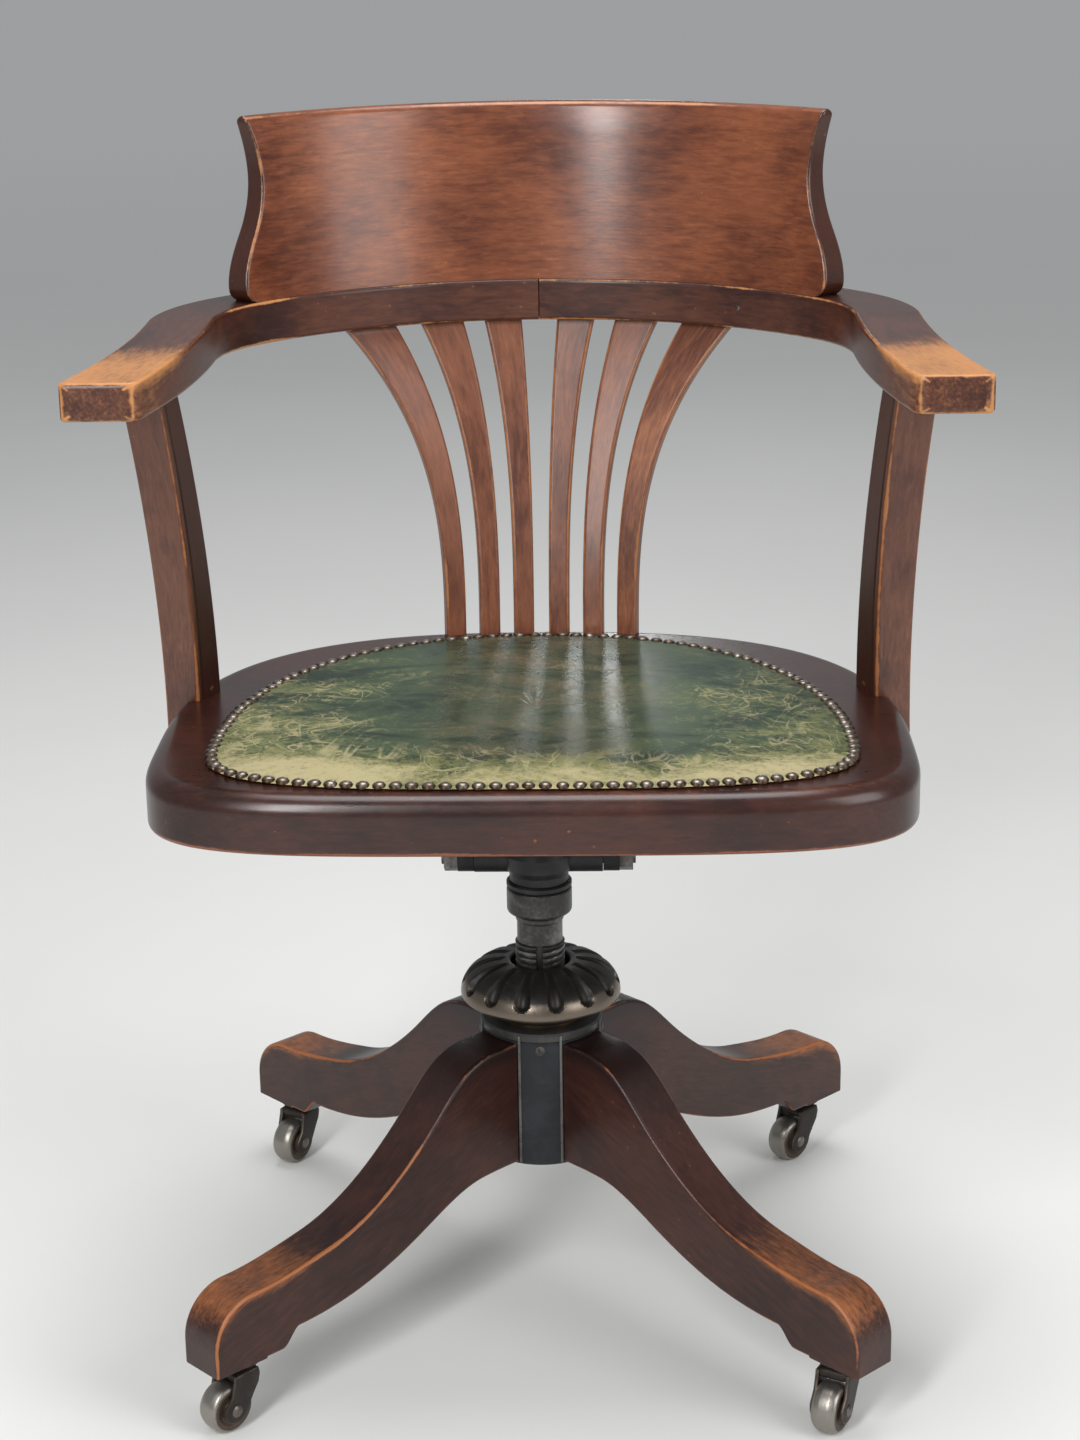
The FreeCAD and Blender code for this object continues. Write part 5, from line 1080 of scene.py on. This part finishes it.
class CHAIR_OT_arm_bow(bpy.types.Operator):
    """Two halves of the horseshoe bow, butted at the back, flared and thinned to the fronts of the arms"""
    bl_idname = "chair.arm_bow"
    bl_label = "Arm bow"

    front_corner, front_ease = 0.008, 0.0035
    end_border = 0.0014

    def execute(self, context):
        edge_radius = context.scene.chair_sizes.wood_edge
        centre, turn = bow_corner()
        rear_turn = np.concatenate([[0.0008, 0.0022], np.linspace(0.008, turn, 44)])
        corner_turn = np.linspace(turn, np.pi / 2, 26)[1:]
        nose = self.front_corner * (1 - np.sin(np.radians(np.linspace(0.0, 90.0, 12))))
        face = np.array([0.001, 0.003, 0.006])
        side_y = np.concatenate([np.linspace(centre[1], ARM_FRONT + 0.012, 40)[1:], ARM_FRONT + nose,
                                 np.full(len(face), ARM_FRONT)])
        inner = bow_edge(0.0, ARM_FRONT_INNER, rear_turn, corner_turn, side_y)
        outer = bow_edge(BOW_WIDTH, ARM_FRONT_OUTER, rear_turn, corner_turn, side_y)
        rows = len(inner)
        from_front, inset = np.full(rows, 1.0), np.zeros(rows)
        from_front[-len(nose) - len(face):] = np.concatenate([nose, 0 * face])
        inset[-len(face):] = face
        top = np.interp(inner[:, 1], [ARM_FRONT, centre[1]], [ARM_FRONT_TOP, BOW_TOP])
        wide = np.linalg.norm(outer - inner, axis=1)

        def drawn_in(radius):
            """How far a rounded front edge of this radius draws the section in."""
            return radius - np.sqrt(radius ** 2 - np.clip(radius - from_front, 0.0, None) ** 2)

        wide_in, high_in = drawn_in(self.front_corner), drawn_in(self.front_ease)
        butt = np.where(np.arange(rows) < 1, 0.0004, 0.0)
        half_wide = wide / 2 - wide_in - butt - inset
        half_high = (top - BOW_LOW) / 2 - high_in - butt - inset
        radius = np.minimum(edge_radius, half_high * 0.4)
        across, up, edge = rounded_section(half_wide, half_high, radius)
        away = np.concatenate([(outer - inner) / wide[:, None], np.zeros((rows, 1))], axis=-1)
        middle = np.concatenate([(outer + inner) / 2, ((top + BOW_LOW) / 2)[:, None]], axis=-1)
        points = carried(across, up, middle, away, UP)
        along = np.concatenate([[0.0], np.cumsum(np.linalg.norm(np.diff(middle, axis=0), axis=1))])
        along = np.broadcast_to(along[:, None], across.shape)
        border = self.end_border
        faded = np.clip(from_front - border, 0.0, None) + border * smoothstep(border, 0.0, from_front)
        edge = np.where(column(inset) > 0, column(border + 0.35 * inset), np.minimum(edge, column(faded)))
        behind = column(smoothstep(0.0005, 0.003, from_front))
        on_top = smoothstep(0.3, 0.9, up / half_high[:, None]) * behind
        y = points[..., 1]
        rub = 0.08 + on_top * smoothstep(0.01, -0.10, y) * 0.72
        rub = rub + on_top * smoothstep(0.16, 0.02, y) * smoothstep(-0.2, 0.8, across / 0.024) * 0.12
        rub = rub - on_top * smoothstep(0.0, 0.09, y) * 0.40
        inward = smoothstep(0.3, 0.9, -across / half_wide[:, None]) * behind
        rub = rub + (1 - on_top) * smoothstep(-0.04, -0.14, y) * (0.10 + 0.22 * inward)
        rub = rub + 0.14 * column(smoothstep(0.003, 0.0, from_front))
        for sign, hand in HANDS:
            finish = stained_wood("stained_wood_arm_" + hand, WOOD_TONES["bow"], (1.1 * sign + 0.6, 0.4, 0.2))
            grain = np.stack([along, across, up], axis=-1)
            mirrored = points * np.array([sign, 1.0, 1.0])
            wooden("wood_arm_" + hand, "arm_" + hand, mirrored, grain, edge, rub, finish)
        plain = stained_wood("plain_wood", WOOD_TONES["slat"], (5.0, 0.0, 0.0), 0.0, 0.5)
        dress(plain, "bow_dowels", "crest_dowels")
        return {"FINISHED"}


class CHAIR_OT_crest_rail(bpy.types.Operator):
    """Curved crest board, thinner and leaning back towards its rounded top, with ogee ends"""
    bl_idname = "chair.crest_rail"
    bl_label = "Crest rail"

    inner = 0.262
    base_thick, top_thick = 0.022, 0.014
    lean = 0.012
    half_angle = math.radians(52.0)
    ogee = ((0.0, 0.004, 1.9), (0.010, 0.0115, 0.0), (0.048, -0.003, -0.601), (0.091, -0.016, 0.0),
            (0.135, -0.007, 0.344))
    roll_tall, roll_deep = 0.024, 0.0028

    def execute(self, context):
        sizes = context.scene.chair_sizes
        tall, soft = CREST_TOP - BOW_TOP, sizes.crest_edge
        shoulder = tall - soft
        roll = np.radians(np.linspace(0.0, 90.0, 8))[1:]
        rise = np.concatenate([[0.0, 0.0, 0.0015], np.linspace(0.004, shoulder - 0.0015, 44), [shoulder],
                               shoulder + soft * np.sin(roll), [tall]])
        share = np.clip(rise / shoulder, 0.0, 1.0)
        tuck = np.zeros(len(rise))
        tuck[-len(roll) - 1:-1] = soft * (1 - np.cos(roll))
        tuck[-1] = soft
        thick = self.base_thick + (self.top_thick - self.base_thick) * share
        back = self.roll_deep * np.clip((rise - tall + self.roll_tall) / self.roll_tall, 0.0, 1.0) ** 2
        half_thick = thick / 2 - tuck - back / 2
        half_thick[0] = half_thick[-1] = 0.0
        middle = self.inner + self.lean * share + thick / 2 + back / 2
        run = through(self.ogee, rise)
        half_long = middle * self.half_angle - tuck * 0.7
        corner = np.minimum(sizes.wood_edge, half_thick * 0.9)
        shares = np.concatenate([[0.004, 0.012], np.linspace(0.03, 0.97, 66), [0.988, 0.996]])
        across, up, edge = rounded_section(half_long, half_thick, corner, shares)
        reach = middle[:, None] + up
        end = self.half_angle + np.arcsin(run[:, None] / reach) - tuck[:, None] * 0.7 / reach
        turn = across / half_long[:, None] * end
        points = np.stack([reach * np.sin(turn), BOW_CENTRE + reach * np.cos(turn),
                           np.broadcast_to(BOW_TOP + rise[:, None], turn.shape)], axis=-1)
        from_top = np.concatenate([shoulder - rise[:-len(roll) - 1] + soft * 0.78,
                                   soft * np.abs(roll - np.pi / 4), [soft * 0.78]])
        edge = np.minimum(edge, from_top[:, None])
        grain = np.stack([turn * self.inner, points[..., 2], reach], axis=-1)
        on_end = smoothstep(0.0, 0.6, (np.abs(across) - column(half_long)) / np.maximum(column(corner), 1e-6) + 1)
        # Negative rub makes the end faces darker.
        rub = (0.16 + 0.10 * smoothstep(0.10, -0.25, points[..., 0])) * (1 - on_end) - 0.75 * on_end
        finish = stained_wood("stained_wood_crest", WOOD_TONES["crest"], (0.3, 0.0, 0.0), 1.0, 0.28, 0.3)
        wooden("wood_crest", "crest_rail", points, grain, edge, rub, finish, ends="shut")
        return {"FINISHED"}


class CHAIR_OT_slats(bpy.types.Operator):
    """Six slats that fan out and widen from the seat's rim to the bow"""
    bl_idname = "chair.slats"
    bl_label = "Slats"

    feet = (-0.068, -0.041, -0.014, 0.014, 0.041, 0.068)
    heads = (-0.132, -0.077, -0.029, 0.029, 0.077, 0.132)
    head_widths = (0.042, 0.034, 0.0295, 0.0295, 0.034, 0.042)
    foot_width, thick = 0.016, 0.011
    foot_inset, head_inset = 0.010, 0.014
    sweep, rake, spread = 2.8, 1.4, 3.0

    def execute(self, context):
        edge_radius = min(context.scene.chair_sizes.wood_edge, 0.0026)
        half, _, rear, widest, _, full = SEAT_OUTLINE
        height = np.concatenate([[SEAT_TOP - 0.003], np.linspace(SEAT_TOP, BOW_LOW, 44), [BOW_LOW + 0.003]])
        share = np.clip((height - SEAT_TOP) / (BOW_LOW - SEAT_TOP), 0.0, 1.0)
        for number in range(6):
            foot, head = self.feet[number], self.heads[number]
            rim = (1 - abs(foot / half) ** full) ** (1 / full)
            foot_y = widest + (rear - widest) * rim - self.foot_inset
            head_y = BOW_CENTRE + math.sqrt((BOW_INNER + self.head_inset) ** 2 - head ** 2)
            x = foot + (head - foot) * share ** self.sweep
            y = foot_y + (head_y - foot_y) * share ** self.rake
            wide = self.foot_width + (self.head_widths[number] - self.foot_width) * share ** self.spread
            facing = -np.arctan2(x, y - BOW_CENTRE)
            across_way, back_way = ways(facing)
            rows = len(height)
            across, up, edge = rounded_section(wide / 2, np.full(rows, self.thick / 2), np.full(rows, edge_radius))
            middle = np.stack([x, y, height], axis=-1)
            points = carried(across, up, middle, across_way, back_way)
            along = np.broadcast_to(height[:, None], across.shape)
            grain = np.stack([along, across + number * 0.31, up + number * 0.17], axis=-1)
            rub = 0.10 + 0.05 * number
            node = "slat_%d" % (number + 1)
            finish = stained_wood("stained_wood_" + node, WOOD_TONES["slat"], (number * 2.3, 0.0, 0.0), 0.8, 0.36)
            wooden("wood_" + node, node, points, grain, edge, rub, finish)
        return {"FINISHED"}


class CHAIR_OT_posts(bpy.types.Operator):
    """Two leaning arm posts with a bead along the inner front corner"""
    bl_idname = "chair.posts"
    bl_label = "Arm posts"

    wide, deep = 0.029, 0.032
    foot, head = (0.247, 0.003), (0.248, -0.090)
    foot_turn, head_turn = math.radians(24.0), math.radians(15.0)
    lap, swell = 0.037, 0.004
    bead, groove_wide, groove_deep = 0.0046, 0.0008, 0.0011

    def execute(self, context):
        edge_radius = min(context.scene.chair_sizes.wood_edge, 0.0024)
        low = SEAT_TOP - self.lap
        height = np.concatenate([[low, low + 0.0012], np.linspace(low + 0.004, BOW_LOW, 48), [BOW_LOW + 0.003]])
        share = (height - SEAT_TOP) / (BOW_LOW - SEAT_TOP)
        x = self.foot[0] + (self.head[0] - self.foot[0]) * share - 4 * self.swell * share * (1 - share)
        y = self.foot[1] + (self.head[1] - self.foot[1]) * share
        turn = self.foot_turn + (self.head_turn - self.foot_turn) * share
        across_way, back_way = ways(turn)
        corner = np.stack([x, y, height], axis=-1)
        middle = corner + across_way * self.wide / 2 + back_way * self.deep / 2
        rows = len(height)
        tuck = np.where(np.arange(rows) < 1, 0.0012, 0.0)
        fine = np.linspace(self.bead - 0.0022, self.bead + 0.0022, 12) / (self.deep - 2 * edge_radius)
        shares = np.sort(np.concatenate([[0.02, 0.3, 0.5, 0.7, 0.98], 1 - fine, fine]))
        across, up, edge = rounded_section(self.wide / 2 - tuck, self.deep / 2 - tuck, np.full(rows, edge_radius),
                                           high_shares=shares)
        inner_face = across < -self.wide / 2 + 0.0014
        from_front = up + self.deep / 2
        groove = np.exp(-((from_front - self.bead - edge_radius) / self.groove_wide) ** 2)
        across = across + np.where(inner_face, groove * self.groove_deep, 0.0)
        edge = np.where(inner_face & (from_front < self.bead), np.minimum(edge, 0.0025), edge)
        points = carried(across, up, middle, across_way, back_way)
        along = np.broadcast_to(height[:, None], across.shape)
        grain = np.stack([along, across, up], axis=-1)
        rub = 0.14 + 0.2 * smoothstep(0.58, 0.50, height)[:, None]
        # Negative rub paints shade on the inner face behind the bead.
        rub = np.where(inner_face & (from_front > self.bead), -0.55, rub)
        for sign, hand in HANDS:
            finish = stained_wood("stained_wood_post_" + hand, WOOD_TONES["post"], (7.0 + sign, 0.0, 0.0), 1.0, 0.38)
            mirrored = points * np.array([sign, 1.0, 1.0])
            wooden("wood_post_" + hand, "arm_post_" + hand, mirrored, grain, edge, rub, finish)
        return {"FINISHED"}


class CHAIR_OT_small_fasteners(bpy.types.Operator):
    """Brass nails at the feet of the arm posts and a sunk screw in the inner side of the bow"""
    bl_idname = "chair.small_fasteners"
    bl_label = "Small fasteners"

    bow_screw, bow_screw_height = np.array([0.1525, 0.2106, 0.0]), 0.7208

    def execute(self, context):
        brass = plain_metal("brass_nail", (0.55, 0.33, 0.09), 0.32, (0.25, 0.14, 0.05))
        steel = plain_metal("dark_steel_sunk", (0.26, 0.24, 0.22), 0.40, (0.09, 0.08, 0.07))
        for sign, hand in HANDS:
            mirror = np.array([sign, 1.0, 1.0])
            outward, backward = ways(CHAIR_OT_posts.foot_turn)
            foot = np.array([*CHAIR_OT_posts.foot, SEAT_TOP + 0.0065]) + backward * 0.017
            mesh = screw_head(foot * mirror, -outward * mirror, UP, 0.0030, 0.0016, 0.4, 0.0)
            piece("post_nail_" + hand, mesh, "seat", brass)
        place = self.bow_screw / BOW_INNER
        seat = place * (BOW_INNER + 0.0006) + np.array([0.0, BOW_CENTRE, self.bow_screw_height])
        piece("bow_screw", screw_head(seat, -place, UP, 0.0026, 0.0010, 1.1), "seat", steel)
        return {"FINISHED"}


class CHAIR_OT_stage(bpy.types.Operator):
    """Pale floor, soft lamps and the camera"""
    bl_idname = "chair.stage"
    bl_label = "Stage"

    eye = (0.055, -1.946, 1.067)
    yaw, pitch, roll = -0.027, 0.306, -0.015
    floor_span = 40.0
    # Name, place, target, width, height and power
    lamps = (("key_lamp", (-0.92, -2.20, 1.85), (0.0, 0.0, 0.75), 0.40, 1.8, 52.0),
             ("fill_lamp", (2.1, -1.5, 1.55), (0.0, 0.0, 0.7), 1.3, 2.0, 35.0),
             ("top_lamp", (0.0, 0.3, 3.1), (0.0, 0.0, 0.4), 1.6, 1.6, 46.0),
             ("rear_strip", (0.06, 3.4, 1.52), (0.05, 0.0, 0.47), 0.14, 0.45, 2.2))

    def lamp(self, name, place, target, wide, tall, power):
        light = bpy.data.lights.new(name, "AREA")
        light.shape = "RECTANGLE"
        light.size, light.size_y, light.energy = wide, tall, power
        lamp = bpy.data.objects.new(name, light)
        lamp.location = place
        lamp.visible_camera = False
        lamp.rotation_euler = (Vector(target) - Vector(place)).to_track_quat("-Z", "Y").to_euler()
        bpy.context.scene.collection.objects.link(lamp)

    def camera(self):
        yaw, pitch, roll = self.yaw, self.pitch, self.roll
        ahead = Vector((math.sin(yaw) * math.cos(pitch), math.cos(yaw) * math.cos(pitch), -math.sin(pitch)))
        right = Vector((math.cos(yaw), -math.sin(yaw), 0.0))
        up = right.cross(ahead)
        level_right = math.cos(roll) * right + math.sin(roll) * up
        level_up = math.cos(roll) * up - math.sin(roll) * right
        turn = Matrix((level_right, level_up, -ahead)).transposed().to_4x4()
        lens = bpy.data.cameras.new("photo_camera")
        lens.lens, lens.sensor_width, lens.clip_end = 70.0, 36.0, 200.0
        camera = bpy.data.objects.new("photo_camera", lens)
        camera.matrix_world = Matrix.Translation(self.eye) @ turn
        bpy.context.scene.collection.objects.link(camera)
        bpy.context.scene.camera = camera

    def execute(self, context):
        scene = context.scene
        scene.view_settings.view_transform = "Standard"
        span = self.floor_span
        mesh = bpy.data.meshes.new("pale_floor")
        corners = [(-span, -span, 0.0), (span, -span, 0.0), (span, span, 0.0), (-span, span, 0.0)]
        mesh.from_pydata(corners, [], [(0, 1, 2, 3)])
        mesh.materials.append(floor_finish(tuple(scene.chair_colours.floor)))
        floor = bpy.data.objects.new("pale_floor", mesh)
        scene.collection.objects.link(floor)
        world = bpy.data.worlds.new("soft_studio")
        world.use_nodes = True
        sky = world.node_tree.nodes["Background"]
        sky.inputs["Color"].default_value = SKY_COLOUR
        sky.inputs["Strength"].default_value = SKY_LEVEL
        scene.world = world
        for lamp in self.lamps:
            self.lamp(*lamp)
        self.camera()
        return {"FINISHED"}


class CHAIR_PT_panel(bpy.types.Panel):
    """Lists the chair's pieces, sizes and colours"""
    bl_idname = "CHAIR_PT_panel"
    bl_label = "Desk armchair"
    bl_space_type = "VIEW_3D"
    bl_region_type = "UI"
    bl_category = "Chair"

    def draw(self, context):
        for made in OPERATORS:
            self.layout.operator(made.bl_idname)
        for group in (context.scene.chair_sizes, context.scene.chair_colours):
            for name in group.__annotations__:
                self.layout.prop(group, name)


OPERATORS = (CHAIR_OT_legs, CHAIR_OT_castors, CHAIR_OT_hub, CHAIR_OT_height_screw, CHAIR_OT_handwheel,
             CHAIR_OT_tilt, CHAIR_OT_seat_board, CHAIR_OT_leather_pad, CHAIR_OT_nails, CHAIR_OT_arm_bow,
             CHAIR_OT_crest_rail, CHAIR_OT_slats, CHAIR_OT_posts, CHAIR_OT_small_fasteners, CHAIR_OT_stage)
CLASSES = (ChairSizes, ChairColours, *OPERATORS, CHAIR_PT_panel)


def register():
    for made in CLASSES:
        bpy.utils.register_class(made)
    bpy.types.Scene.chair_sizes = PointerProperty(type=ChairSizes)
    bpy.types.Scene.chair_colours = PointerProperty(type=ChairColours)


def unregister():
    del bpy.types.Scene.chair_colours
    del bpy.types.Scene.chair_sizes
    for made in reversed(CLASSES):
        bpy.utils.unregister_class(made)


def main():
    register()
    for made in OPERATORS:
        group, name = made.bl_idname.split(".")
        getattr(getattr(bpy.ops, group), name)()


if __name__ == "__main__":
    main()
